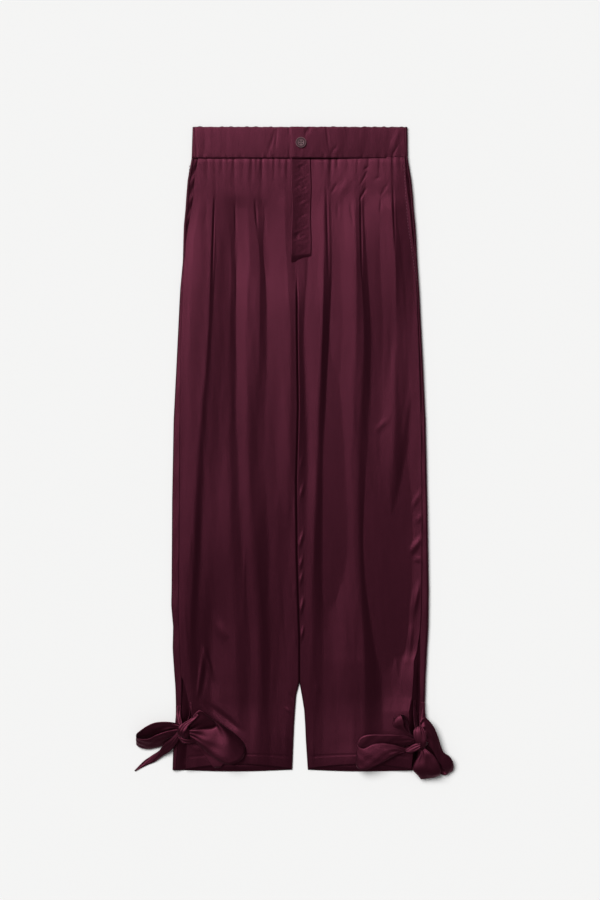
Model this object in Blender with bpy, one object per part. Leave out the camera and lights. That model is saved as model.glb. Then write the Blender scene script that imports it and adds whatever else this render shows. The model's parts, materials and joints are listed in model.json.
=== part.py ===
"""Pleated satin trousers with a bow tied at each ankle, laid out flat on their back.

Metres, +Z up. The tables below are written in the garment's own terms: x to the right as
seen from above, "down" from the top of the waistband towards the hem, and z above the
surface that the trousers lie on. World +Y points from the hems to the waist.
"""
import math
from collections import namedtuple

import bmesh
import bpy
import numpy as np
from mathutils import Vector

# Cloth walls and the gaps between pieces.
CLOTH = 0.0014
BAND_WALL = 0.0024
FACING_WALL = 0.0010
RIBBON_WALL = 0.0012
GAP = 0.0003

# The side edges: the back panel turns up there on this mid-line radius and meets the front.
EDGE_RADIUS = 0.0020
FRONT_BASE = 0.0024
EDGE_RISE = CLOTH / 2 + 2 * EDGE_RADIUS - FRONT_BASE

# Lengths down the garment, from the top of the waistband.
BAND_HEIGHT = 0.050
PANEL_TOP = BAND_HEIGHT + GAP
TUCK_END = 0.125
HIP = 0.213
THIGH = 0.325
KNEE = 0.565
CALF = 0.821
HEM = 1.0275
FRONT_HEM_RISE = 0.008
FRONT_HEM_LIFT = 0.005
BACK_HEM = 1.0290
BACK_HEM_SAG = 0.0025
FRONT_HEM_REACH = 0.040
BACK_HEM_REACH = 0.050

# Button, fly and gathers.
BUTTON_X = 0.0016
BUTTON_DOWN = 0.024
BUTTON_RADIUS = 0.00775
BUTTON_THICKNESS = 0.0030
BUTTON_HOLE_RADIUS = 0.0010
BUTTON_HOLE_SPACING = 0.0032
FLY_LEFT = -0.0140
FLY_RIGHT = 0.0180
FLY_END = 0.215
UNDERLAP_END = 0.0120
LAP_SLOPE_START = 0.0135
LAP_SLOPE_END = 0.0240
LAP_FLAT = 0.0280
BAND_HALF_WIDTH = 0.1720
BAND_FLARE_LEFT = 0.0016
BAND_FLARE_RIGHT = 0.0008
BAND_LIP = 0.0014
GATHERS = 22
GATHER_HEIGHT = 0.0010
CREASE_ROOM = 0.0006

SATIN = (0.078, 0.017, 0.028, 1.0)
BUTTON_COLOUR = (0.030, 0.010, 0.014, 1.0)

# Heights at which the panels' meshes have rows of points.
LEVELS = (PANEL_TOP, 0.072, 0.098, TUCK_END, 0.165, HIP, 0.265, 0.330, 0.410, 0.500, 0.590,
          0.680, 0.765, 0.836, 0.889, 0.919, 0.945, 0.975, 1.002, HEM)

# One row for each height: the outline, the end of the back panel's turned edge, and the
# front panel's outer edge, which moves inwards at the pocket and at the ankle slit.
SideRow = namedtuple("SideRow", "down outline seam front")

LEFT_SIDE = (
    SideRow(0.050, -0.1736, -0.1705, -0.1630),
    SideRow(0.085, -0.1800, -0.1765, -0.1688),
    SideRow(0.109, -0.1820, -0.1785, -0.1704),
    SideRow(0.133, -0.1836, -0.1800, -0.1736),
    SideRow(0.157, -0.1860, -0.1824, -0.1784),
    SideRow(0.181, -0.1868, -0.1832, -0.1815),
    SideRow(0.213, -0.1875, -0.1837, -0.1834),
    SideRow(0.261, -0.1920, -0.1870, -0.1867),
    SideRow(0.373, -0.1975, -0.1898, -0.1895),
    SideRow(0.469, -0.2024, -0.1908, -0.1905),
    SideRow(0.597, -0.2048, -0.1913, -0.1910),
    SideRow(0.740, -0.2057, -0.1925, -0.1922),
    SideRow(0.765, -0.2063, -0.1933, -0.1930),
    SideRow(0.800, -0.2032, -0.1925, -0.1922),
    SideRow(0.836, -0.2040, -0.1910, -0.1907),
    SideRow(0.878, -0.2011, -0.1890, -0.1887),
    SideRow(0.896, -0.1996, -0.1887, -0.1832),
    SideRow(0.919, -0.1989, -0.1893, -0.1782),
    SideRow(0.941, -0.1989, -0.1902, -0.1740),
    SideRow(0.965, -0.2010, -0.1910, -0.1750),
    SideRow(0.990, -0.2030, -0.1960, -0.1810),
    SideRow(HEM, -0.2042, -0.1990, -0.1832),
)

RIGHT_SIDE = (
    SideRow(0.050, 0.1728, 0.1698, 0.1675),
    SideRow(0.085, 0.1786, 0.1755, 0.1696),
    SideRow(0.109, 0.1810, 0.1780, 0.1725),
    SideRow(0.133, 0.1826, 0.1796, 0.1760),
    SideRow(0.157, 0.1850, 0.1820, 0.1780),
    SideRow(0.181, 0.1865, 0.1833, 0.1805),
    SideRow(0.213, 0.1880, 0.1840, 0.1837),
    SideRow(0.261, 0.1912, 0.1864, 0.1861),
    SideRow(0.373, 0.1968, 0.1903, 0.1900),
    SideRow(0.469, 0.2012, 0.1933, 0.1930),
    SideRow(0.597, 0.2040, 0.1948, 0.1945),
    SideRow(0.741, 0.2063, 0.1943, 0.1940),
    SideRow(0.798, 0.2057, 0.1925, 0.1920),
    SideRow(0.816, 0.2048, 0.1912, 0.1898),
    SideRow(0.838, 0.2034, 0.1907, 0.1878),
    SideRow(0.855, 0.2027, 0.1905, 0.1822),
    SideRow(0.878, 0.2014, 0.1903, 0.1815),
    SideRow(0.912, 0.2004, 0.1905, 0.1810),
    SideRow(0.935, 0.2000, 0.1895, 0.1806),
    SideRow(0.965, 0.1990, 0.1890, 0.1810),
    SideRow(0.990, 0.1975, 0.1885, 0.1815),
    SideRow(HEM, 0.1940, 0.1860, 0.1780),
)

# The line between the legs, and how far apart the panels are there.
CentreRow = namedtuple("CentreRow", "down x gap")

CENTRE = (
    CentreRow(0.050, -0.0048, GAP),
    CentreRow(0.325, -0.0048, GAP),
    CentreRow(0.450, -0.0030, GAP),
    CentreRow(0.565, -0.0060, GAP),
    CentreRow(0.690, -0.0050, GAP),
    CentreRow(0.821, -0.0010, GAP),
    CentreRow(0.889, -0.0008, GAP),
    CentreRow(0.909, -0.0016, 0.0090),
    CentreRow(0.933, -0.0006, 0.0148),
    CentreRow(0.957, -0.0006, 0.0180),
    CentreRow(0.981, -0.0006, 0.0200),
    CentreRow(HEM, 0.0, 0.0250),
)

# Each fold line runs from its tuck at the waist to the hem: its x at each station, and how
# high it rides above the lowest cloth of the front.
FOLD_STATIONS = (BAND_HEIGHT, TUCK_END, HIP, THIGH, KNEE, CALF, HEM)
FoldLine = namedtuple("FoldLine", "name waist tuck hip thigh knee calf hem floor")

LEFT_FOLDS = (
    FoldLine("side_pleat", -0.1440, -0.1376, -0.1392, -0.1424, -0.1568, -0.1680, -0.1660, 0.0022),
    FoldLine("outer_pleat", -0.1248, -0.1232, -0.1248, -0.1250, -0.1280, -0.1320, -0.1300, 0.0012),
    FoldLine("middle_pleat", -0.1056, -0.1088, -0.1056, -0.1040, -0.1024, -0.0928, -0.0880, 0.0),
    FoldLine("half_pleat", -0.0910, -0.0896, -0.0840, -0.0800, -0.0840, -0.0740, -0.0700, 0.0035),
    FoldLine("inner_pleat", -0.0768, -0.0704, -0.0576, -0.0608, -0.0704, -0.0560, -0.0512, 0.0),
)

RIGHT_FOLDS = (
    FoldLine("inner_pleat", 0.0460, 0.0448, 0.0448, 0.0448, 0.0384, 0.0240, 0.0290, 0.0),
    FoldLine("half_pleat", 0.0620, 0.0624, 0.0640, 0.0624, 0.0576, 0.0704, 0.0750, 0.0022),
    FoldLine("middle_pleat", 0.0770, 0.0806, 0.0840, 0.0860, 0.0840, 0.0960, 0.1000, 0.0032),
    FoldLine("outer_pleat", 0.0928, 0.0960, 0.1008, 0.1056, 0.0992, 0.1152, 0.1230, 0.0006),
    FoldLine("side_pleat", 0.1290, 0.1296, 0.1248, 0.1216, 0.1250, 0.1320, 0.1380, 0.0006),
    FoldLine("pocket_pleat", 0.1470, 0.1504, 0.1584, 0.1696, 0.1600, 0.1500, 0.1580, 0.0008),
)

# The cloth that swells up between two neighbouring lines, from left to right.
SWELL_STATIONS = (BAND_HEIGHT, TUCK_END, HIP, KNEE, HEM)
Swell = namedtuple("Swell", "waist tuck hip knee hem crest")

LEFT_SWELLS = (
    Swell(0.0003, 0.0008, 0.0020, 0.0026, 0.0020, 0.45),
    Swell(0.0010, 0.0014, 0.0008, 0.0012, 0.0012, 0.40),
    Swell(0.0010, 0.0014, 0.0010, 0.0012, 0.0012, 0.40),
    Swell(0.0010, 0.0016, 0.0045, 0.0042, 0.0030, 0.36),
    Swell(0.0010, 0.0014, 0.0022, 0.0020, 0.0015, 0.45),
    Swell(0.0010, 0.0014, 0.0060, 0.0058, 0.0040, 0.80),
)

RIGHT_SWELLS = (
    Swell(0.0010, 0.0014, 0.0050, 0.0050, 0.0036, 0.62),
    Swell(0.0010, 0.0014, 0.0034, 0.0036, 0.0028, 0.45),
    Swell(0.0010, 0.0014, 0.0028, 0.0026, 0.0020, 0.45),
    Swell(0.0010, 0.0014, 0.0024, 0.0022, 0.0015, 0.45),
    Swell(0.0010, 0.0014, 0.0012, 0.0020, 0.0020, 0.60),
    Swell(0.0010, 0.0014, 0.0048, 0.0044, 0.0032, 0.50),
    Swell(0.0003, 0.0008, 0.0020, 0.0024, 0.0020, 0.50),
)

# Where the cloth is pulled flat: under the fly strip and round each bow's knot.
FlatSpot = namedtuple("FlatSpot", "x down inner outer")

FLAT_SPOTS = tuple(FlatSpot(0.002, down, 0.025, 0.040) for down in (0.060, 0.090, 0.120, 0.150, 0.180, 0.205))
FLAT_SPOTS += (FlatSpot(-0.170, 0.968, 0.030, 0.060), FlatSpot(0.172, 0.975, 0.034, 0.064))

# A rung lies across a ribbon: the places of the ribbon's two edges.
Rung = namedtuple("Rung", "x0 down0 z0 x1 down1 z1")

KnotSize = namedtuple("KnotSize", "x down z half_x half_y half_z")

LEFT_KNOT = KnotSize(-0.1855, 0.9661, 0.0145, 0.0120, 0.0140, 0.0075)
RIGHT_KNOT = KnotSize(0.1932, 0.9790, 0.0155, 0.0115, 0.0190, 0.0080)

LEFT_BOW = {
    "loop_outer": (
        Rung(-0.1920, 0.9539, 0.0170, -0.1920, 0.9615, 0.0145),
        Rung(-0.2018, 0.9506, 0.0175, -0.2018, 0.9641, 0.0125),
        Rung(-0.2165, 0.9495, 0.0175, -0.2165, 0.9702, 0.0090),
        Rung(-0.2312, 0.9511, 0.0175, -0.2312, 0.9743, 0.0070),
        Rung(-0.2442, 0.9566, 0.0175, -0.2451, 0.9795, 0.0060),
        Rung(-0.2549, 0.9637, 0.0175, -0.2565, 0.9849, 0.0055),
        Rung(-0.2609, 0.9702, 0.0170, -0.2619, 0.9873, 0.0050),
        Rung(-0.2576, 0.9762, 0.0165, -0.2560, 0.9926, 0.0042),
        Rung(-0.2418, 0.9772, 0.0170, -0.2426, 0.9955, 0.0036),
        Rung(-0.2292, 0.9710, 0.0175, -0.2287, 0.9932, 0.0036),
        Rung(-0.2149, 0.9658, 0.0175, -0.2157, 0.9883, 0.0045),
        Rung(-0.2018, 0.9630, 0.0170, -0.2026, 0.9792, 0.0070),
        Rung(-0.1920, 0.9612, 0.0160, -0.1920, 0.9702, 0.0120),
    ),
    "loop_inner": (
        Rung(-0.1798, 0.9632, 0.0170, -0.1781, 0.9726, 0.0145),
        Rung(-0.1675, 0.9619, 0.0195, -0.1651, 0.9832, 0.0125),
        Rung(-0.1544, 0.9609, 0.0215, -0.1487, 0.9979, 0.0125),
        Rung(-0.1414, 0.9596, 0.0225, -0.1316, 1.0094, 0.0130),
        Rung(-0.1352, 0.9570, 0.0230, -0.1153, 1.0174, 0.0135),
        Rung(-0.1336, 0.9539, 0.0230, -0.1030, 1.0151, 0.0125),
        Rung(-0.1345, 0.9506, 0.0225, -0.0932, 1.0099, 0.0075),
        Rung(-0.1378, 0.9468, 0.0220, -0.0872, 0.9988, 0.0044),
        Rung(-0.1420, 0.9426, 0.0215, -0.0895, 0.9857, 0.0032),
        Rung(-0.1482, 0.9374, 0.0210, -0.0989, 0.9751, 0.0028),
        Rung(-0.1564, 0.9321, 0.0200, -0.1153, 0.9723, 0.0028),
        Rung(-0.1623, 0.9318, 0.0185, -0.1316, 0.9735, 0.0032),
        Rung(-0.1685, 0.9380, 0.0170, -0.1479, 0.9743, 0.0042),
        Rung(-0.1747, 0.9481, 0.0155, -0.1626, 0.9739, 0.0065),
        Rung(-0.1786, 0.9579, 0.0135, -0.1740, 0.9702, 0.0105),
    ),
    "tail_outer": (
        Rung(-0.1953, 0.9664, 0.0166, -0.1904, 0.9735, 0.0162),
        Rung(-0.2070, 0.9782, 0.0144, -0.1977, 0.9854, 0.0130),
        Rung(-0.2178, 0.9873, 0.0095, -0.2067, 0.9975, 0.0085),
        Rung(-0.2255, 0.9975, 0.0050, -0.2194, 1.0061, 0.0045),
        Rung(-0.2385, 1.0066, 0.0018, -0.2331, 1.0164, 0.0018),
        Rung(-0.2508, 1.0154, 0.0010, -0.2459, 1.0219, 0.0010),
        Rung(-0.2651, 1.0301, 0.0010, -0.2642, 1.0314, 0.0010),
    ),
    "tail_inner": (
        Rung(-0.1798, 0.9743, 0.0105, -0.1847, 0.9788, 0.0100),
        Rung(-0.1659, 0.9788, 0.0092, -0.1711, 0.9860, 0.0084),
        Rung(-0.1512, 0.9903, 0.0086, -0.1590, 0.9971, 0.0076),
        Rung(-0.1357, 1.0028, 0.0080, -0.1471, 1.0125, 0.0070),
        Rung(-0.1221, 1.0143, 0.0066, -0.1394, 1.0229, 0.0060),
        Rung(-0.1247, 1.0213, 0.0060, -0.1306, 1.0262, 0.0058),
    ),
    "band_front": (
        Rung(-0.1760, 0.9204, 0.0062, -0.1731, 0.9201, 0.0050),
        Rung(-0.1757, 0.9318, 0.0095, -0.1724, 0.9315, 0.0056),
        Rung(-0.1781, 0.9449, 0.0125, -0.1750, 0.9459, 0.0075),
        Rung(-0.1847, 0.9571, 0.0150, -0.1822, 0.9583, 0.0110),
    ),
    "band_back": (
        Rung(-0.1972, 0.9253, 0.0062, -0.1904, 0.9253, 0.0060),
        Rung(-0.1976, 0.9375, 0.0076, -0.1897, 0.9375, 0.0068),
        Rung(-0.1966, 0.9473, 0.0110, -0.1891, 0.9481, 0.0100),
        Rung(-0.1936, 0.9571, 0.0145, -0.1871, 0.9579, 0.0135),
    ),
}

RIGHT_BOW = {
    "loop_inner": (
        Rung(0.1849, 0.9773, 0.0180, 0.1849, 0.9837, 0.0155),
        Rung(0.1696, 0.9726, 0.0200, 0.1708, 0.9884, 0.0135),
        Rung(0.1520, 0.9702, 0.0215, 0.1532, 0.9949, 0.0110),
        Rung(0.1355, 0.9697, 0.0220, 0.1355, 1.0008, 0.0095),
        Rung(0.1214, 0.9693, 0.0220, 0.1191, 1.0061, 0.0086),
        Rung(0.1073, 0.9700, 0.0220, 0.1038, 1.0102, 0.0080),
        Rung(0.0973, 0.9743, 0.0218, 0.0932, 1.0143, 0.0076),
        Rung(0.0920, 0.9820, 0.0215, 0.0896, 1.0190, 0.0072),
        Rung(0.0941, 0.9888, 0.0215, 0.0918, 1.0234, 0.0070),
        Rung(0.1028, 0.9912, 0.0222, 0.0985, 1.0262, 0.0070),
        Rung(0.1167, 0.9846, 0.0230, 0.1114, 1.0241, 0.0076),
        Rung(0.1308, 0.9828, 0.0235, 0.1249, 1.0175, 0.0092),
        Rung(0.1485, 0.9853, 0.0225, 0.1432, 1.0073, 0.0112),
        Rung(0.1649, 0.9904, 0.0205, 0.1608, 0.9994, 0.0145),
        Rung(0.1849, 0.9926, 0.0180, 0.1844, 0.9963, 0.0160),
    ),
    "loop_outer": (
        Rung(0.1932, 0.9596, 0.0192, 0.1967, 0.9832, 0.0184),
        Rung(0.2028, 0.9508, 0.0176, 0.2032, 0.9820, 0.0198),
        Rung(0.2146, 0.9614, 0.0145, 0.2061, 0.9884, 0.0200),
        Rung(0.2207, 0.9761, 0.0132, 0.2120, 0.9955, 0.0192),
        Rung(0.2282, 0.9975, 0.0124, 0.2179, 1.0073, 0.0180),
        Rung(0.2381, 1.0053, 0.0116, 0.2238, 1.0173, 0.0164),
        Rung(0.2440, 1.0143, 0.0104, 0.2291, 1.0257, 0.0140),
        Rung(0.2456, 1.0232, 0.0080, 0.2334, 1.0316, 0.0100),
        Rung(0.2433, 1.0309, 0.0046, 0.2327, 1.0363, 0.0054),
        Rung(0.2369, 1.0307, 0.0022, 0.2244, 1.0352, 0.0022),
        Rung(0.2302, 1.0184, 0.0024, 0.2138, 1.0246, 0.0022),
        Rung(0.2232, 1.0037, 0.0055, 0.2049, 1.0120, 0.0040),
        Rung(0.2132, 0.9914, 0.0110, 0.1996, 1.0008, 0.0085),
        Rung(0.2014, 0.9820, 0.0140, 0.1967, 0.9926, 0.0115),
    ),
    "tail_outer": (
        Rung(0.1920, 0.9914, 0.0150, 0.2002, 0.9920, 0.0155),
        Rung(0.1908, 1.0020, 0.0170, 0.2073, 0.9984, 0.0210),
        Rung(0.1838, 1.0126, 0.0150, 0.2161, 1.0067, 0.0220),
        Rung(0.1796, 1.0232, 0.0115, 0.2216, 1.0167, 0.0205),
        Rung(0.1814, 1.0290, 0.0085, 0.2238, 1.0255, 0.0180),
        Rung(0.1879, 1.0359, 0.0045, 0.2241, 1.0328, 0.0120),
        Rung(0.1932, 1.0429, 0.0014, 0.2233, 1.0368, 0.0070),
    ),
    "tail_inner": (
        Rung(0.1832, 0.9740, 0.0210, 0.1824, 0.9756, 0.0190),
        Rung(0.1702, 0.9649, 0.0210, 0.1675, 0.9669, 0.0186),
        Rung(0.1652, 0.9559, 0.0218, 0.1593, 0.9599, 0.0184),
        Rung(0.1649, 0.9488, 0.0220, 0.1496, 0.9582, 0.0180),
        Rung(0.1628, 0.9422, 0.0218, 0.1475, 0.9516, 0.0174),
        Rung(0.1605, 0.9382, 0.0202, 0.1506, 0.9439, 0.0150),
        Rung(0.1661, 0.9396, 0.0182, 0.1612, 0.9420, 0.0115),
        Rung(0.1704, 0.9461, 0.0172, 0.1678, 0.9476, 0.0106),
        Rung(0.1734, 0.9561, 0.0166, 0.1718, 0.9573, 0.0100),
        Rung(0.1767, 0.9679, 0.0160, 0.1758, 0.9690, 0.0110),
        Rung(0.1838, 0.9779, 0.0150, 0.1832, 0.9787, 0.0120),
    ),
    "band_front": (
        Rung(0.1808, 0.9161, 0.0064, 0.1849, 0.9161, 0.0060),
        Rung(0.1808, 0.9302, 0.0082, 0.1867, 0.9302, 0.0072),
        Rung(0.1816, 0.9455, 0.0104, 0.1887, 0.9455, 0.0090),
        Rung(0.1832, 0.9596, 0.0122, 0.1891, 0.9596, 0.0114),
        Rung(0.1855, 0.9737, 0.0134, 0.1896, 0.9737, 0.0132),
    ),
    "band_back": (
        Rung(0.1939, 0.9196, 0.0066, 0.1991, 0.9196, 0.0063),
        Rung(0.1934, 0.9326, 0.0080, 0.1996, 0.9326, 0.0072),
        Rung(0.1926, 0.9455, 0.0094, 0.2009, 0.9473, 0.0084),
        Rung(0.1911, 0.9573, 0.0120, 0.1991, 0.9596, 0.0110),
        Rung(0.1920, 0.9714, 0.0144, 0.1979, 0.9714, 0.0136),
    ),
}

# Spans of the meshes.
INNER_LIP = 0.0012
EDGE_ARC_STEPS = 6
RIBBON_STEPS = 2
RIBBON_COLUMNS = 3
RIBBON_CAMBER = 0.08
CREASE_SMOOTHING = 0.020
LEG_PROBE = 0.0025
SURFACE_CLEARANCE = 0.0006


def smoothstep(value):
    """Ease a value from 0 to 1."""
    value = min(max(value, 0.0), 1.0)
    return value * value * (3 - 2 * value)


def read_table(rows, column, down):
    """Value of a table's column at a height, between its rows."""
    return float(np.interp(down, [row.down for row in rows], [getattr(row, column) for row in rows]))


def read_stations(stations, values, down):
    """Value at a height of what is given at stations, with its bends eased."""
    near = [np.interp(down + step, stations, values) for step in (-CREASE_SMOOTHING, 0.0, CREASE_SMOOTHING)]
    return float(sum(near) / len(near))


def centre_edge(side, down):
    """x of a panel's inner edge. side is -1 for the left leg and 1 for the right."""
    return read_table(CENTRE, "x", down) + side * read_table(CENTRE, "gap", down) / 2


def flatness(x, down):
    """1 where the cloth swells freely, 0 where it is pulled flat."""
    free = 1.0
    for spot in FLAT_SPOTS:
        distance = math.hypot(x - spot.x, down - spot.down)
        free = min(free, smoothstep((distance - spot.inner) / (spot.outer - spot.inner)))
    return free


class Leg:
    """The sizes of one leg's panels."""

    def __init__(self, name, side, rows, folds, swells):
        self.name = name
        self.side = side
        self.rows = rows
        self.folds = folds
        self.swells = swells

    def roll_centre(self, down):
        """x of the centre line of the side edge's turn."""
        return read_table(self.rows, "outline", down) - self.side * (EDGE_RADIUS + CLOTH / 2)

    def seam(self, down):
        """x of the end of the back panel's turned edge."""
        wanted = read_table(self.rows, "seam", down) * self.side
        return self.side * min(wanted, self.roll_centre(down) * self.side - GAP)

    def front_edge(self, down):
        """x of the front panel's outer edge."""
        wanted = read_table(self.rows, "front", down) * self.side
        return self.side * min(wanted, self.seam(down) * self.side - GAP)

    def fold_lines(self, down):
        """x and height of every fold line and edge at one height, from left to right."""
        grown = smoothstep((down - PANEL_TOP) / (HIP - PANEL_TOP))
        lines = [(read_stations(FOLD_STATIONS, row[1:8], down), row.floor * grown) for row in self.folds]
        outer = (self.front_edge(down), EDGE_RISE)
        inner = (centre_edge(self.side, down), 0.0)
        return [outer] + lines + [inner] if self.side < 0 else [inner] + lines + [outer]

    def front_row(self, down):
        """Points (x, z) across the front panel at one height."""
        lines = self.fold_lines(down)
        points = []
        for swell, start, end in zip(self.swells, lines[:-1], lines[1:]):
            rise = read_stations(SWELL_STATIONS, swell[:5], down)
            for fraction in swell_fractions(swell.crest):
                x = start[0] + (end[0] - start[0]) * fraction
                floor = start[1] + (end[1] - start[1]) * fraction
                is_edge_band = EDGE_RISE in (start[1], end[1])
                free = flatness(x, down)
                height = rise * swell_shape(fraction, swell.crest) * free
                points.append((x, FRONT_BASE + (floor if is_edge_band else floor * free) + height))
        points.append((lines[-1][0], FRONT_BASE + lines[-1][1]))
        return self.with_flat_lip(points)

    def with_flat_lip(self, points):
        """The same points, with a narrow flat strip along the panel's inner edge."""
        if self.side < 0:
            edge = points[-1]
            return points[:-1] + [(edge[0] - INNER_LIP, FRONT_BASE), edge]
        edge = points[0]
        return [edge, (edge[0] + INNER_LIP, FRONT_BASE)] + points[1:]

    def front_points(self):
        """Rows of points of the front panel's middle surface."""
        grid = []
        for level in LEVELS:
            row = []
            near_hem = smoothstep((level - HEM) / FRONT_HEM_REACH + 1)
            points = self.front_row(level)
            first, last = points[0][0], points[-1][0]
            for x, z in points:
                middle = math.sin(math.pi * (x - first) / (last - first))
                down = level - FRONT_HEM_RISE * middle * near_hem
                lift = FRONT_HEM_LIFT * middle * near_hem
                row.append((x, down, z + lift))
            grid.append(row)
        return grid

    def back_points(self):
        """Rows of points of the back panel, with its outer edge turned up and over."""
        grid = []
        for level in LEVELS:
            inner = centre_edge(self.side, level)
            turn = self.roll_centre(level)
            hem_part = smoothstep((level - HEM) / BACK_HEM_REACH + 1)
            row = []
            for step in range(4):
                share = step / 4
                x = inner + (turn - inner) * share
                sag = (BACK_HEM - HEM + BACK_HEM_SAG * math.sin(math.pi * share)) * hem_part
                row.append((x, level + sag, CLOTH / 2))
            edge_down = level + (BACK_HEM - HEM) * hem_part
            for step in range(EDGE_ARC_STEPS + 1):
                angle = math.pi * step / EDGE_ARC_STEPS
                x = turn + self.side * EDGE_RADIUS * math.sin(angle)
                z = CLOTH / 2 + EDGE_RADIUS * (1 - math.cos(angle))
                row.append((x, edge_down, z))
            row.append((self.seam(level), edge_down, CLOTH / 2 + 2 * EDGE_RADIUS))
            grid.append(row)
        return grid

    def facing_points(self):
        """Rows of points of the strip that shows in the pocket's mouth."""
        middle = CLOTH + GAP + FACING_WALL / 2 + 0.0002
        grid = []
        for level in (level for level in LEVELS if level <= HIP):
            outer = self.roll_centre(level) + self.side * GAP
            inner = self.front_edge(level) - self.side * 0.0040
            grid.append([(outer + (inner - outer) * step / 3, level, middle) for step in range(4)])
        return grid

    def top_height(self, x, down):
        """Height of the highest cloth of this leg at a place, or None beside the leg."""
        if not PANEL_TOP <= down <= BACK_HEM + BACK_HEM_SAG:
            return None
        outline = read_table(self.rows, "outline", down)
        inner = centre_edge(self.side, down)
        if not min(outline, inner) <= x <= max(outline, inner):
            return None
        points = self.front_row(down)
        if points[0][0] <= x <= points[-1][0] and down <= HEM:
            first, last = points[0][0], points[-1][0]
            near_hem = smoothstep((down - HEM) / FRONT_HEM_REACH + 1)
            lift = FRONT_HEM_LIFT * math.sin(math.pi * (x - first) / (last - first)) * near_hem
            height = np.interp(x, [point[0] for point in points], [point[1] for point in points])
            return float(height) + lift + CLOTH / 2
        if (x - self.seam(down)) * self.side >= 0:
            return CLOTH + 2 * EDGE_RADIUS
        return CLOTH


def swell_fractions(crest):
    """Places across one swell where its mesh has points, its end left out."""
    after = (1 - crest) / 3
    return 0.0, crest / 2, crest, crest + after, crest + 2 * after


def swell_shape(fraction, crest):
    """Height of a swell, 0 to 1: round on top and creased at both ends."""
    if fraction <= crest:
        return math.sin(math.pi / 2 * fraction / crest)
    return math.cos(math.pi / 2 * (fraction - crest) / (1 - crest))


LEFT_LEG = Leg("left", -1, LEFT_SIDE, LEFT_FOLDS, LEFT_SWELLS)
RIGHT_LEG = Leg("right", 1, RIGHT_SIDE, RIGHT_FOLDS, RIGHT_SWELLS)
LEGS = (LEFT_LEG, RIGHT_LEG)


def clear_scene():
    """Remove every object of the scene."""
    for obj in list(bpy.data.objects):
        bpy.data.objects.remove(obj, do_unlink=True)


def make_material(name, colour, roughness):
    """A plain Principled material."""
    material = bpy.data.materials.new(name)
    material.use_nodes = True
    shader = material.node_tree.nodes["Principled BSDF"]
    shader.inputs["Base Color"].default_value = colour
    shader.inputs["Roughness"].default_value = roughness
    shader.inputs["Metallic"].default_value = 0.0
    return material


def add_object(name, mesh, frame):
    """Put a mesh into the scene under its own name and material."""
    obj = bpy.data.objects.new(name, mesh)
    bpy.context.collection.objects.link(obj)
    obj.parent = frame
    is_button = name == "button"
    colour = BUTTON_COLOUR if is_button else SATIN
    mesh.materials.append(make_material(name + "_finish", colour, 0.35 if is_button else 0.42))
    mesh.shade_smooth()
    mesh.set_sharp_from_angle(angle=math.radians(40))
    return obj


def add_sheet(name, grid, wall, frame):
    """A cloth wall about a grid of points (x, down, z)."""
    mesh = bpy.data.meshes.new(name)
    columns = len(grid[0])
    points = [(x, -down, z) for row in grid for x, down, z in row]
    faces = []
    for row in range(len(grid) - 1):
        for column in range(columns - 1):
            corner = row * columns + column
            faces.append((corner, corner + columns, corner + columns + 1, corner + 1))
    mesh.from_pydata(points, [], faces)
    obj = add_object(name, mesh, frame)
    solid = obj.modifiers.new("wall", "SOLIDIFY")
    solid.thickness = wall
    solid.offset = 0.0
    solid.use_even_offset = False
    return obj


def leg_surface(x, down):
    """Height of whatever cloth lies highest near a place, 0 beside the legs."""
    highest = 0.0
    for leg in LEGS:
        for step_x in (-LEG_PROBE, 0.0, LEG_PROBE):
            for step_down in (-LEG_PROBE, 0.0, LEG_PROBE):
                height = leg.top_height(x + step_x, down + step_down)
                highest = max(highest, height or 0.0)
    return highest


def band_outline(down):
    """x of the waistband's left and right edges at a height."""
    share = down / BAND_HEIGHT
    return -BAND_HALF_WIDTH - BAND_FLARE_LEFT * share, BAND_HALF_WIDTH + BAND_FLARE_RIGHT * share


def add_waistband_back(frame):
    """The gathered back of the waistband, with both ends turned up to the front."""
    grid = []
    for down in (0.0, 0.006, 0.030, BAND_HEIGHT):
        left, right = band_outline(down)
        inset = EDGE_RADIUS + CLOTH / 2
        left_turn, right_turn = left + inset, right - inset
        top = CLOTH / 2 + 2 * EDGE_RADIUS
        row = [(left_turn + BAND_LIP, down, top)]
        for step in range(EDGE_ARC_STEPS, -1, -1):
            angle = math.pi * step / EDGE_ARC_STEPS
            z = CLOTH / 2 + EDGE_RADIUS * (1 - math.cos(angle))
            row.append((left_turn - EDGE_RADIUS * math.sin(angle), down, z))
        steps = GATHERS * 4
        for step in range(1, steps):
            share = step / steps
            x = left_turn + (right_turn - left_turn) * share
            wave = 0.5 - 0.5 * math.cos(2 * math.pi * GATHERS * share)
            peak = 0.0014 * wave * smoothstep(1 - down / 0.017)
            row.append((x, down - peak, CLOTH / 2 + GATHER_HEIGHT * wave))
        for step in range(EDGE_ARC_STEPS + 1):
            angle = math.pi * step / EDGE_ARC_STEPS
            z = CLOTH / 2 + EDGE_RADIUS * (1 - math.cos(angle))
            row.append((right_turn + EDGE_RADIUS * math.sin(angle), down, z))
        row.append((right_turn - BAND_LIP, down, top))
        grid.append(row)
    add_sheet("waistband_back", grid, CLOTH, frame)


def band_crease(x, down):
    """Depth of the soft creases across the waistband's front."""
    depth = 0.0
    for crease_x, lean, size in ((-0.034, 0.0, 0.0005), (-0.018, 0.004, 0.0006), (0.147, -0.022, 0.0006),
                                 (-0.094, 0.003, 0.0003), (0.082, -0.004, 0.0004)):
        distance = x - (crease_x + lean * (down / BAND_HEIGHT - 0.5))
        depth += size * math.exp(-(distance / 0.0045) ** 2)
    return depth


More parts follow.
